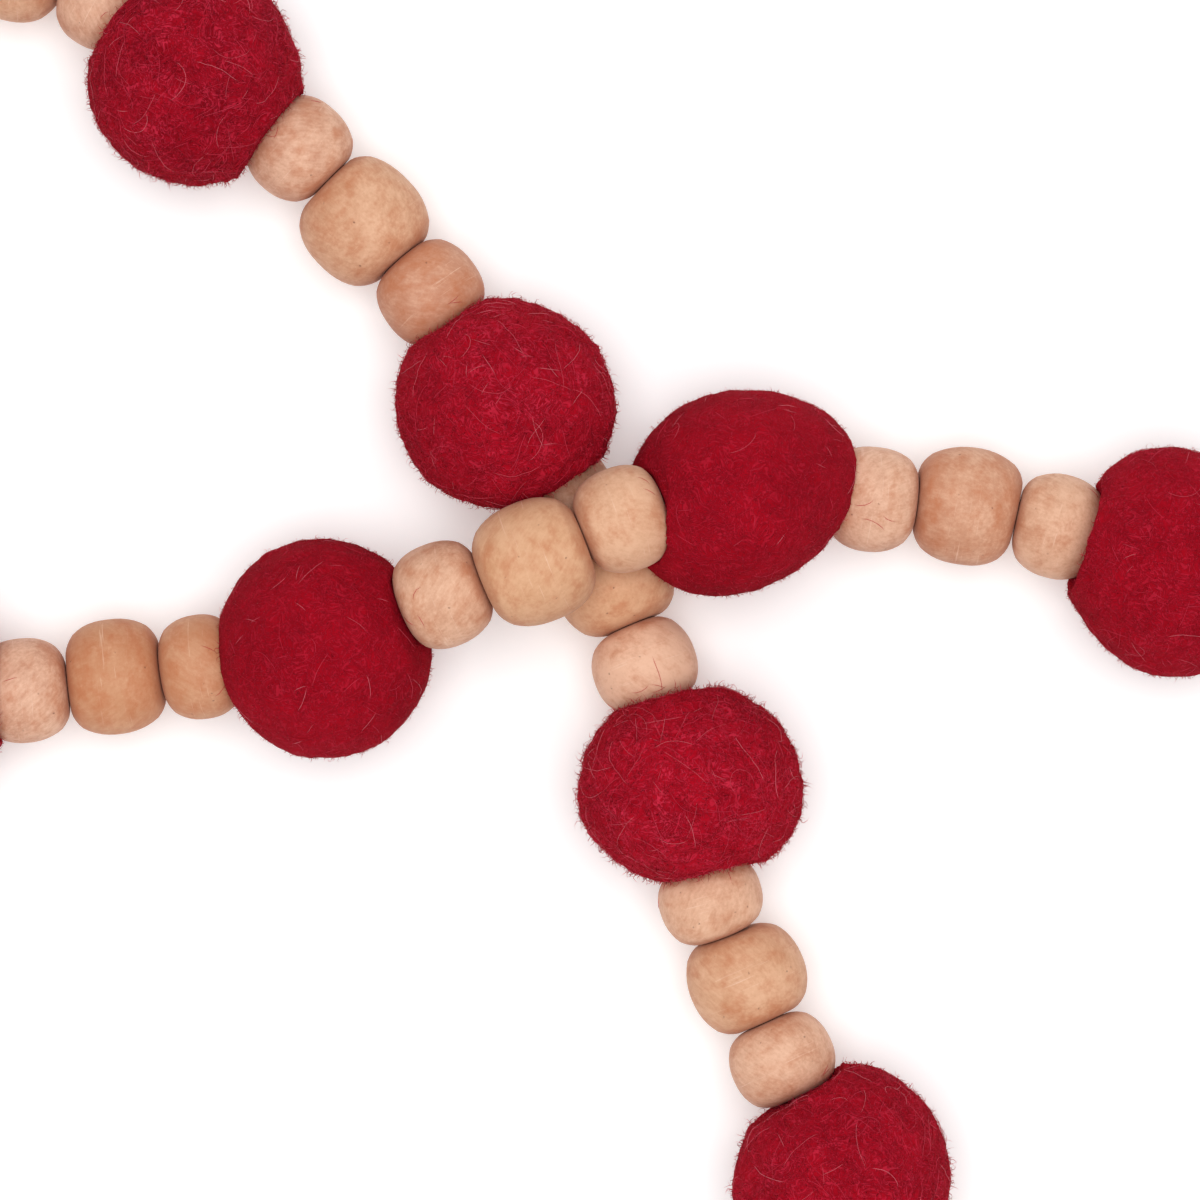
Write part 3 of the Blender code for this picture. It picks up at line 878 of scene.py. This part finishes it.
def press_table(shape, piece):
    """Flattens the underside where the ball rests."""
    back = piece.frame.inverted()
    for vertex in shape.verts:
        point = piece.frame @ vertex.co
        if point.z < TABLE_CLEARANCE:
            point.z = TABLE_CLEARANCE
            vertex.co = back @ point


def near_beads(piece):
    """The beads close enough to touch a ball, each with whether it is next to it on the string."""
    at = pieces.index(piece)
    beside = pieces[max(at - 1, 0):at] + pieces[at + 1:at + 2]
    return [(bead, bead in beside) for bead in beads
            if (bead.frame.translation - piece.frame.translation).length < SEAT_RANGE]


def make_felt_ball(piece, felt):
    shape = felt_body(piece, felt)
    for bead, beside in near_beads(piece):
        (press_seat if beside else press_side)(shape, piece, bead)
    press_table(shape, piece)
    thing = make_piece(f"wool_{piece.name}", shape, piece.frame, felt_material, [piece.name])
    for name in ("loose", "tone"):
        own = thing.data.attributes.new(name, "FLOAT", "POINT")
        own.data.foreach_set("value", [getattr(felt, name)] * len(thing.data.vertices))
    return thing


balls = []
for piece in pieces:
    if piece.kind == FELT:
        felt = FELT_BALLS[piece.number - 1]
        balls.append((piece, felt, make_felt_ball(piece, felt)))
print("felt balls:", len(balls), "triangles each:", triangle_count(balls[0][2].data))

# %% [markdown]
# ## Short strands for the nap
# Against the light the edge of a felt ball is a haze of short fibres that stand up and curl. Each
# strand is a small triangle spun along an arc and drawn to a point. A few different strands are
# enough, because each is laid turned and scaled.

# %% Strand shapes
Strand = namedtuple("Strand", "length thickness arc_radius steps sway")
STANDING = [
    Strand(0.85, 0.040, 0.65, 2, 0.22),
    Strand(0.60, 0.042, 0.90, 2, -0.14),
    Strand(1.20, 0.036, 0.80, 3, 0.34),
    Strand(0.50, 0.042, 1.40, 2, 0.08),
]


def strand_mesh(name, strand):
    """A closed three-sided strand of bmesh, spun along an arc and drawn to a point."""
    shape = bmesh.new()
    made = bmesh.ops.create_circle(shape, segments=3, radius=strand.thickness, cap_ends=True)
    upright = Matrix.Rotation(math.pi / 2, 3, "Y")
    bmesh.ops.rotate(shape, cent=(0, 0, 0), matrix=upright, verts=made["verts"])
    bmesh.ops.spin(shape, geom=shape.verts[:] + shape.edges[:] + shape.faces[:],
                   cent=(0, 0, -strand.arc_radius), axis=(0, 1, 0), dvec=(0, 0, 0),
                   angle=strand.length / strand.arc_radius, steps=strand.steps, use_duplicate=False)
    bmesh.ops.remove_doubles(shape, verts=shape.verts, dist=0.0005)
    for vertex in shape.verts:
        across = Vector((vertex.co.x, 0, vertex.co.z + strand.arc_radius))
        share = math.atan2(across.x, across.z) * strand.arc_radius / strand.length
        middle = across.normalized() * strand.arc_radius - Vector((0, 0, strand.arc_radius))
        vertex.co = middle + (vertex.co - middle) * max(0.0, 1.0 - share ** 2)
        vertex.co.y += strand.sway * math.sin(math.pi * share * 1.3)
    bmesh.ops.remove_doubles(shape, verts=shape.verts, dist=0.0005)
    bmesh.ops.recalc_face_normals(shape, faces=shape.faces)
    bmesh.ops.rotate(shape, cent=(0, 0, 0), matrix=upright.inverted(), verts=shape.verts)
    bmesh.ops.scale(shape, vec=(MM, MM, MM), verts=shape.verts)
    mesh = bpy.data.meshes.new(name)
    shape.to_mesh(mesh)
    shape.free()
    return mesh


standing_strands = bpy.data.collections.new("standing_strand")
for number, strand in enumerate(STANDING):
    mesh = strand_mesh(f"standing_strand_{number}", strand)
    standing_strands.objects.link(bpy.data.objects.new(mesh.name, mesh))

# %% [markdown]
# ## Laying the strands
# Thousands of strands are too many to place by hand, and hair would be lost in an export. So a
# Geometry Nodes tree scatters the strand shapes over a ball, stores a random tone for each, and
# turns them into real mesh. An attribute named nap keeps them off the seats and the flat spot.

# %% Scatter tree
SHORT_TONE = 0.78


def scatter_tree(collection, density, size_range, tilt, seed):
    """A node tree that turns a surface into the strands scattered over it."""
    tree = bpy.data.node_groups.new(f"scatter_{collection.name}_{seed}", "GeometryNodeTree")
    tree.interface.new_socket("Geometry", in_out="INPUT", socket_type="NodeSocketGeometry")
    tree.interface.new_socket("Geometry", in_out="OUTPUT", socket_type="NodeSocketGeometry")

    def add(kind, settings, inputs):
        node = tree.nodes.new(kind)
        for key, setting in settings.items():
            setattr(node, key, setting)
        for key, value in inputs.items():
            if isinstance(value, bpy.types.NodeSocket):
                tree.links.new(value, node.inputs[key])
            else:
                node.inputs[key].default_value = value
        return node

    surface = tree.nodes.new("NodeGroupInput").outputs[0]
    nap = add("GeometryNodeInputNamedAttribute", {"data_type": "FLOAT"}, {"Name": "nap"})
    scaled = add("ShaderNodeMath", {"operation": "MULTIPLY"}, {0: nap.outputs[0], 1: density})
    points = add("GeometryNodeDistributePointsOnFaces", {"distribute_method": "RANDOM"},
                 {"Mesh": surface, "Density": scaled.outputs[0], "Seed": seed})
    shapes = add("GeometryNodeCollectionInfo", {},
                 {"Collection": collection, "Separate Children": True, "Reset Children": True})
    spin = add("FunctionNodeRandomValue", {"data_type": "FLOAT_VECTOR"},
               {0: (-tilt, -tilt, -math.pi), 1: (tilt, tilt, math.pi), "Seed": seed + 1})
    turned = add("FunctionNodeRotateRotation", {"rotation_space": "LOCAL"},
                 {0: points.outputs["Rotation"], 1: spin.outputs[0]})
    size = add("FunctionNodeRandomValue", {"data_type": "FLOAT"},
               {2: size_range[0], 3: size_range[1], "Seed": seed + 2})
    laid = add("GeometryNodeInstanceOnPoints", {},
               {"Points": points.outputs["Points"], "Instance": shapes.outputs[0],
                "Pick Instance": True, "Rotation": turned.outputs[0], "Scale": size.outputs[1]})
    tone = add("FunctionNodeRandomValue", {"data_type": "FLOAT"}, {2: 0.0, 3: SHORT_TONE, "Seed": seed + 3})
    stored = add("GeometryNodeStoreNamedAttribute", {"data_type": "FLOAT", "domain": "INSTANCE"},
                 {"Geometry": laid.outputs[0], "Name": "tone", "Value": tone.outputs[1]})
    real = add("GeometryNodeRealizeInstances", {}, {"Geometry": stored.outputs[0]})
    out = tree.nodes.new("NodeGroupOutput")
    tree.links.new(real.outputs[0], out.inputs[0])
    return tree


def scatter(surface, collection, density, size_range, tilt, seed):
    """The strands over a surface object, as one mesh."""
    helper = bpy.data.objects.new("scatter_helper", surface.data)
    tree = scatter_tree(collection, density, size_range, tilt, seed)
    helper.modifiers.new("scatter", "NODES").node_group = tree
    return mesh_of(helper)


# %% [markdown]
# ## Long fibres
# Single fibres lie curved over the wool and cross each other. Each is walked over the surface in
# small steps, turning a little at each one, and lifts off it here and there. All of them become
# one curve object with a three-sided outline, drawn to a point at both ends, and then a mesh, in
# which every fibre has its tone.

# %% Fibres along routes
FIBRE_RADIUS = 0.031
FIBRE_SIDES = 3
FIBRE_STEP = 0.68
FIBRE_SEAM = 0.001 * MM


def fibre_mesh(name, routes, outline):
    """One mesh of fibres. A route is a tone and its points in millimetres."""
    curve = swept_curve(name, outline)
    tones = []
    for tone, route in routes:
        spline = curve.splines.new("POLY")
        spline.points.add(len(route) - 1)
        for number, (place, point) in enumerate(zip(route, spline.points)):
            point.co = (*(place * MM), 1.0)
            point.radius = 0.0 if number in (0, len(route) - 1) else 1.0
        tones.extend([tone] * FIBRE_SIDES * len(route))
    mesh = mesh_of(bpy.data.objects.new(name + "_curve", curve))
    mesh.attributes.new("tone", "FLOAT", "POINT").data.foreach_set("value", tones)
    close_seams(mesh, FIBRE_SEAM)
    return mesh


def walk_fibre(tree, start, rng, length, bend, lift, heading=None):
    """A route over a surface from a start point in metres, as points in millimetres."""
    place, normal, _, _ = tree.find_nearest(start)
    if heading is None:
        heading = normal.orthogonal()
        heading.rotate(Quaternion(normal, rng.uniform(0, 2 * math.pi)))
    heading = (heading - normal * heading.dot(normal)).normalized()
    steps = max(3, round(length / FIBRE_STEP))
    turn = bend * FIBRE_STEP
    route = []
    for step in range(steps + 1):
        share = step / steps
        arch = 0.2 + 0.8 * math.sin(math.pi * share)
        route.append(place / MM + normal * lift * arch)
        heading.rotate(Quaternion(normal, turn))
        turn += rng.gauss(0, 0.05)
        place, normal, _, _ = tree.find_nearest(place + heading * FIBRE_STEP * MM)
        heading = (heading - normal * heading.dot(normal)).normalized()
    return route


fibre_section = closed_outline("fibre_outline", [FIBRE_RADIUS] * FIBRE_SIDES)
print("fibre radius:", FIBRE_RADIUS, "mm")

# %% [markdown]
# ## The nap of each ball
# Near the table the nap is pressed away. Elsewhere the short strands stand evenly, right up to the
# beads, and the long fibres are thick on the loosely felted balls and few on the smooth ones.

# %% Nap on the balls
SEAT_EDGE = 0.4
FLAT_EDGE = 1.5
STANDING_DENSITY = 1.75e6
LONG_FIBRES = 520
FREE_NAP = 0.9


def store_nap(thing, piece):
    """1 where strands grow, and 0 in the seats of the beads and on the flat spot."""
    nap = thing.data.attributes.new("nap", "FLOAT", "POINT")
    close = [bead for bead, _ in near_beads(piece)]
    for vertex in thing.data.vertices:
        point = vertex.co / MM
        free = min(1.0, max(0.0, (point.z - FLAT_EDGE) / FLAT_EDGE))
        for bead in close:
            away = (point - bead.frame.translation).length
            free = min(free, (away - BEAD_RADIUS[bead.kind] * bead.girth) / SEAT_EDGE)
        nap.data[vertex.index].value = max(0.0, free)


def long_fibres(thing, felt):
    """Routes of long fibres from points of the ball where the nap is free."""
    rng = random.Random(f"long {thing.name}")
    tree = surface_tree(thing.data)
    nap = thing.data.attributes["nap"].data
    free = [vertex.co for vertex in thing.data.vertices if nap[vertex.index].value > FREE_NAP]
    routes = []
    for start in rng.choices(free, k=round(LONG_FIBRES * felt.loose)):
        length = rng.choice((1.6, 2.4, 3.2, 4.2, 5.4)) * (0.8 + 0.25 * felt.loose)
        bend = rng.choice((0.06, 0.10, 0.16, 0.40)) * rng.gauss(0, 1)
        lift = rng.uniform(0.03, 0.10) + 0.16 * felt.loose * rng.random() ** 4
        routes.append((rng.random(), walk_fibre(tree, start, rng, length, bend, lift)))
    return routes


def join_meshes(name, meshes):
    """Several meshes as one, which keeps their attributes."""
    things = [bpy.data.objects.new(name, mesh) for mesh in meshes]
    for thing in things:
        bpy.context.scene.collection.objects.link(thing)
    with bpy.context.temp_override(active_object=things[0], selected_editable_objects=things):
        bpy.ops.object.join()
    mesh = things[0].data
    bpy.data.objects.remove(things[0], do_unlink=True)
    return mesh


fibre_count = 0
for piece, felt, thing in balls:
    store_nap(thing, piece)
    density = STANDING_DENSITY * (0.8 + 0.2 * felt.loose)
    sizes = [size * (0.65 + 0.35 * felt.loose) for size in (0.5, 1.1)]
    short = scatter(thing, standing_strands, density, sizes, 0.75, felt.seed * 10)
    long = fibre_mesh(f"long_{piece.name}", long_fibres(thing, felt), fibre_section)
    mesh = join_meshes(f"fibres_{piece.name}", [short, long])
    fibres = mesh_piece(f"fibres_{piece.name}", mesh, fibre_material)
    fibre_count += triangle_count(mesh)
print("triangles of fibres:", fibre_count)

# %% [markdown]
# ## Lint on the beads
# Wool sheds. The beads next to a ball carry a few short red hairs near it, and a few beads show a
# longer one. A hair is walked over its bead in the same way as a fibre over a ball.

# %% Lint hairs
# Where a hair starts, turned from the top round the bore and along it, and the way it sets out,
# across the bore and onward along it. Then how long it is, how it bends and how far it lifts.
Hair = namedtuple("Hair", "bead turn along across onward length bend lift")
HAIRS = [
    Hair("small_bead_04", -0.20, 0.4, 0.10, -1.0, 4.6, 0.08, 0.10),
    Hair("small_bead_04", 0.50, -2.6, -1.0, -0.6, 2.4, 0.35, 0.06),
    Hair("small_bead_04", -0.50, -2.8, -0.4, -1.0, 1.8, -0.30, 0.06),
    Hair("small_bead_20", -0.42, -1.8, 0.5, 1.0, 3.2, -0.55, 0.06),
    Hair("small_bead_20", -0.30, 0.6, -1.0, 0.6, 2.2, 0.45, 0.06),
    Hair("small_bead_20", -0.15, -2.8, -0.4, 1.0, 2.4, 0.40, 0.08),
    Hair("small_bead_05", 0.20, 2.6, -1.0, 0.3, 2.8, 0.30, 0.08),
    Hair("small_bead_05", -0.20, 3.0, 1.0, -0.4, 2.4, -0.50, 0.06),
]
LINT_PER_BEAD = 3
LINT_TONE = 0.60


def bead_point(piece, turn, along):
    """A point on a bead's side, in metres."""
    radius = drum_radius(piece.kind, along / piece.half) * piece.girth
    return piece.frame @ Vector((radius * math.sin(turn), radius * math.cos(turn), along)) * MM


lint_count = 0
for at, piece in enumerate(pieces):
    beside = [n for n in (at - 1, at + 1) if 0 <= n < len(pieces) and pieces[n].kind == FELT]
    if piece.kind == FELT or not beside:
        continue
    tree = surface_tree(bpy.data.objects[f"wood_{piece.name}"].data)
    rng = random.Random(f"lint {piece.name}")
    hairs = [hair for hair in HAIRS if hair.bead == piece.name]
    side = 1 if beside[0] > at else -1
    for _ in range(LINT_PER_BEAD):
        along = side * piece.half * rng.uniform(0.5, 0.85)
        across, onward, length = rng.gauss(0, 1), rng.gauss(0, 1), rng.uniform(0.9, 1.8)
        hairs.append(Hair(piece.name, rng.uniform(-1.4, 1.4), along, across, onward, length,
                          rng.gauss(0, 0.4), 0.06))
    routes = []
    for hair in hairs:
        start = bead_point(piece, hair.turn, hair.along)
        heading = piece.frame.to_3x3() @ Vector((hair.across, 0, hair.onward))
        route = walk_fibre(tree, start, rng, hair.length, hair.bend, hair.lift, heading)
        routes.append((LINT_TONE, route))
    mesh = fibre_mesh(f"lint_{piece.name}", routes, fibre_section)
    mesh_piece(f"lint_{piece.name}", mesh, fibre_material)
    lint_count += len(routes)
bpy.data.objects.remove(fibre_section, do_unlink=True)
print("lint hairs:", lint_count)

# %% [markdown]
# ## The string
# The string is three plies twisted together. A three-lobed outline is swept along the line of the
# bends, and each point of the line is tilted a little more than the one before, which winds the
# lobes round each other. The beads hide nearly all of it, but it is real all the way, and it runs
# on into the knots.

# %% Twisted string
STRING_RADIUS = 0.6
PLIES = 3
LOBE_POINTS = 6
TWIST_PITCH = 4.2
LOBE_DEPTH = 0.20
STRING_STEP = 0.8
STRING_SEAM = 0.01 * MM
STRING_INTO_KNOT = 2.0


def ply_radii():
    """The radius at each point of the string's outline, with one lobe for each ply."""
    radii = []
    for number in range(PLIES * LOBE_POINTS):
        lobe = abs(math.cos(math.pi * number / LOBE_POINTS))
        radii.append(STRING_RADIUS * (1 - LOBE_DEPTH + LOBE_DEPTH * lobe))
    return radii


def even_route(route, step):
    """The same route with points evenly spaced, so that the twist is even."""
    points = [route[0]]
    for before, after in zip(route, route[1:]):
        pieces_here = max(1, round((after - before).length / step))
        for number in range(1, pieces_here + 1):
            points.append(before.lerp(after, number / pieces_here))
    return points


def twisted(name, route, outline, replaced):
    """A twisted string of mesh along a route in millimetres, and its length."""
    points = even_route(route, STRING_STEP)
    curve = swept_curve(name, outline)
    curve.use_fill_caps = True
    curve.twist_mode = "MINIMUM"
    spline = curve.splines.new("POLY")
    spline.points.add(len(points) - 1)
    run = 0.0
    for number, point in enumerate(points):
        run += (point - points[number - 1]).length if number else 0.0
        spline.points[number].co = (*(point * MM), 1.0)
        spline.points[number].tilt = 2 * math.pi * run / TWIST_PITCH
    mesh = mesh_of(bpy.data.objects.new(name + "_curve", curve))
    close_seams(mesh, STRING_SEAM)
    return mesh_piece(name, mesh, cotton_material, replaced), run


outline = closed_outline("ply_outline", ply_radii())
first = points[0] + (points[0] - points[1]).normalized() * STRING_INTO_KNOT
last = points[-1] + (points[-1] - points[-2]).normalized() * STRING_INTO_KNOT
string, string_run = twisted("cotton_string", [first, *points, last], outline, ["string"])
print("string:", round(string_run), "mm,", triangle_count(string.data), "triangles")

# %% [markdown]
# ## Knots and hanging loops
# Past each end bead the string is wound round itself in a knot, and comes out of it as a loop to
# hang the garland by. The loop's points are a short table of one half, mirrored, and smoothed. It
# starts inside the knot, leaves it, drops to the table and lies there.

# %% Ends of the garland
KNOT_HALF_LENGTH = 2.7
KNOT_DROP = 1.6
KNOT_COIL_RADIUS = 1.45
KNOT_COILS = 4
KNOT_STEPS = 18
# Each row of half a loop is how far out past the knot, how far to the side, and how high.
LoopPoint = namedtuple("LoopPoint", "out side height")
LOOP_HALF = [
    LoopPoint(-2.0, 0.5, 0.2),
    LoopPoint(0.6, 0.95, 0.0),
    LoopPoint(2.0, 1.1, -0.7),
    LoopPoint(4.5, 1.7, -2.2),
    LoopPoint(8.0, 2.9, -4.2),
    LoopPoint(13.0, 5.0, -5.6),
    LoopPoint(19.0, 6.9, -5.8),
    LoopPoint(25.0, 6.6, -5.8),
    LoopPoint(29.5, 3.9, -5.8),
]
LOOP_TIP = LoopPoint(31.2, 0.0, -5.8)
LOOP_HEIGHT_OVER_TABLE = STRING_RADIUS + 0.05
LOOP_POINTS_PER_SPAN = 4


def smooth_route(points, per_span):
    """A smooth curve through points, with per_span steps from each to the next."""
    ends = [points[0] * 2 - points[1]] + points + [points[-1] * 2 - points[-2]]
    route = []
    for p0, p1, p2, p3 in zip(ends, ends[1:], ends[2:], ends[3:]):
        for step in range(per_span):
            t = step / per_span
            route.append(
                (p1 * 2 + (p2 - p0) * t
                 + (p0 * 2 - p1 * 5 + p2 * 4 - p3) * t * t
                 + (p1 * 3 - p0 - p2 * 3 + p3) * t * t * t) / 2
            )
    route.append(points[-1])
    return route


def loop_route(root, out):
    """The hanging loop's points, from one side of the knot round its tip to the other."""
    out = Vector((out.x, out.y, 0)).normalized()
    side = Vector((-out.y, out.x, 0))
    far_half = [LoopPoint(row.out, -row.side, row.height) for row in reversed(LOOP_HALF)]
    rows = [*LOOP_HALF, LOOP_TIP, *far_half]
    bends = [root + out * row.out + side * row.side + Vector((0, 0, row.height)) for row in rows]
    route = smooth_route(bends, LOOP_POINTS_PER_SPAN)
    return [Vector((point.x, point.y, max(point.z, LOOP_HEIGHT_OVER_TABLE))) for point in route]


def knot_route(start, end):
    """String wound in close coils round the line from start to end."""
    place = piece_frame((start + end) / 2, end - start)
    half = (end - start).length / 2 - STRING_RADIUS
    route = []
    for step in range(KNOT_COILS * KNOT_STEPS + 1):
        share = step / (KNOT_COILS * KNOT_STEPS)
        angle = 2 * math.pi * KNOT_COILS * share
        round_about = Vector((math.cos(angle), math.sin(angle), 0)) * KNOT_COIL_RADIUS
        route.append(place @ (round_about + Vector((0, 0, half * (2 * share - 1)))))
    return route


for label, inner, outer in (("front", points[1], points[0]), ("right", points[-2], points[-1])):
    out = (outer - inner).normalized()
    knot_start = outer + out * GAP
    knot_way = (out * 2 * KNOT_HALF_LENGTH - Vector((0, 0, KNOT_DROP / 2))).normalized()
    knot_end = knot_start + knot_way * 2 * KNOT_HALF_LENGTH
    twisted(f"cotton_knot_{label}", knot_route(knot_start, knot_end), outline, [f"knot_{label}"])
    route = loop_route(knot_end, out)
    loop, loop_run = twisted(f"cotton_loop_{label}", route, outline, [f"loop_{label}"])
    tuple(route[0] * MM)
    loop_run * MM
    [tuple(point * MM) for point in route]
    print(label, "loop:", round(loop_run, 1), "mm")
bpy.data.objects.remove(outline, do_unlink=True)

# %% [markdown]
# ## Table, light and camera
# A pale table and soft light from above show the wool without hard shadows. One large lamp over
# the garland makes the tops of the balls brightest, as in a light tent, and a bright sky fills
# the sides. The camera looks straight down, from far enough away that the balls keep their shape.

# %% Studio
TABLE_SIZE = 3.0
PHOTO_WIDTH = 0.1376
CAMERA_HEIGHT = 0.75
SENSOR = 36.0
LAMP_SIZE, LAMP_HEIGHT, LAMP_POWER = 0.9, 1.25, 12.0
SKY_STRENGTH = 0.50
TABLE_GLOW = 0.20
WHITE, TABLE_COLOUR = (1.0, 1.0, 1.0, 1.0), (0.90, 0.90, 0.90, 1.0)

scene = bpy.context.scene
scene.view_settings.view_transform = "Standard"

shape = bmesh.new()
bmesh.ops.create_grid(shape, x_segments=1, y_segments=1, size=TABLE_SIZE / 2)
table_mesh = bpy.data.meshes.new("table")
shape.to_mesh(table_mesh)
shape.free()
table = bpy.data.objects.new("table", table_mesh)
scene.collection.objects.link(table)
table_finish = Finish("pale_table", Roughness=0.9, Specular_IOR_Level=0.05, Base_Color=TABLE_COLOUR,
                      Emission_Color=WHITE, Emission_Strength=TABLE_GLOW)
table_mesh.materials.append(table_finish.material)
table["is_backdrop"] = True

world = bpy.data.worlds.new("sky")
scene.world = world
world.use_nodes = True
world.node_tree.nodes["Background"].inputs["Color"].default_value = WHITE
world.node_tree.nodes["Background"].inputs["Strength"].default_value = SKY_STRENGTH

view_middle = Vector((CENTRE_SHIFT.x, CENTRE_SHIFT.y, RESTING_HEIGHT[FELT])) * MM
lamp_data = bpy.data.lights.new("overhead", "AREA")
lamp_data.size = LAMP_SIZE
lamp_data.energy = LAMP_POWER
lamp = bpy.data.objects.new("overhead", lamp_data)
lamp.location = view_middle + Vector((0, 0, LAMP_HEIGHT))
scene.collection.objects.link(lamp)

camera_data = bpy.data.cameras.new("camera")
camera_data.sensor_width = SENSOR
camera_data.lens = SENSOR * CAMERA_HEIGHT / PHOTO_WIDTH
camera_data.clip_start = 0.01
camera = bpy.data.objects.new("camera", camera_data)
camera.location = view_middle + Vector((0, 0, CAMERA_HEIGHT))
scene.collection.objects.link(camera)
scene.camera = camera
print("lens:", round(camera_data.lens, 1), "mm")

# %% [markdown]
# ## Finish
# The box of the solids and the box of the dressed garland are put side by side, and the dressed box
# is printed, to see that the dressing keeps to the garland's size.

# %% The sizes and finish
dressed_low, dressed_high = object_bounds()
sizes = {"cad": [list(cad_low), list(cad_high)], "dressed": [list(dressed_low), list(dressed_high)]}
print("dressed box:", [round(side, 4) for side in dressed_high - dressed_low])
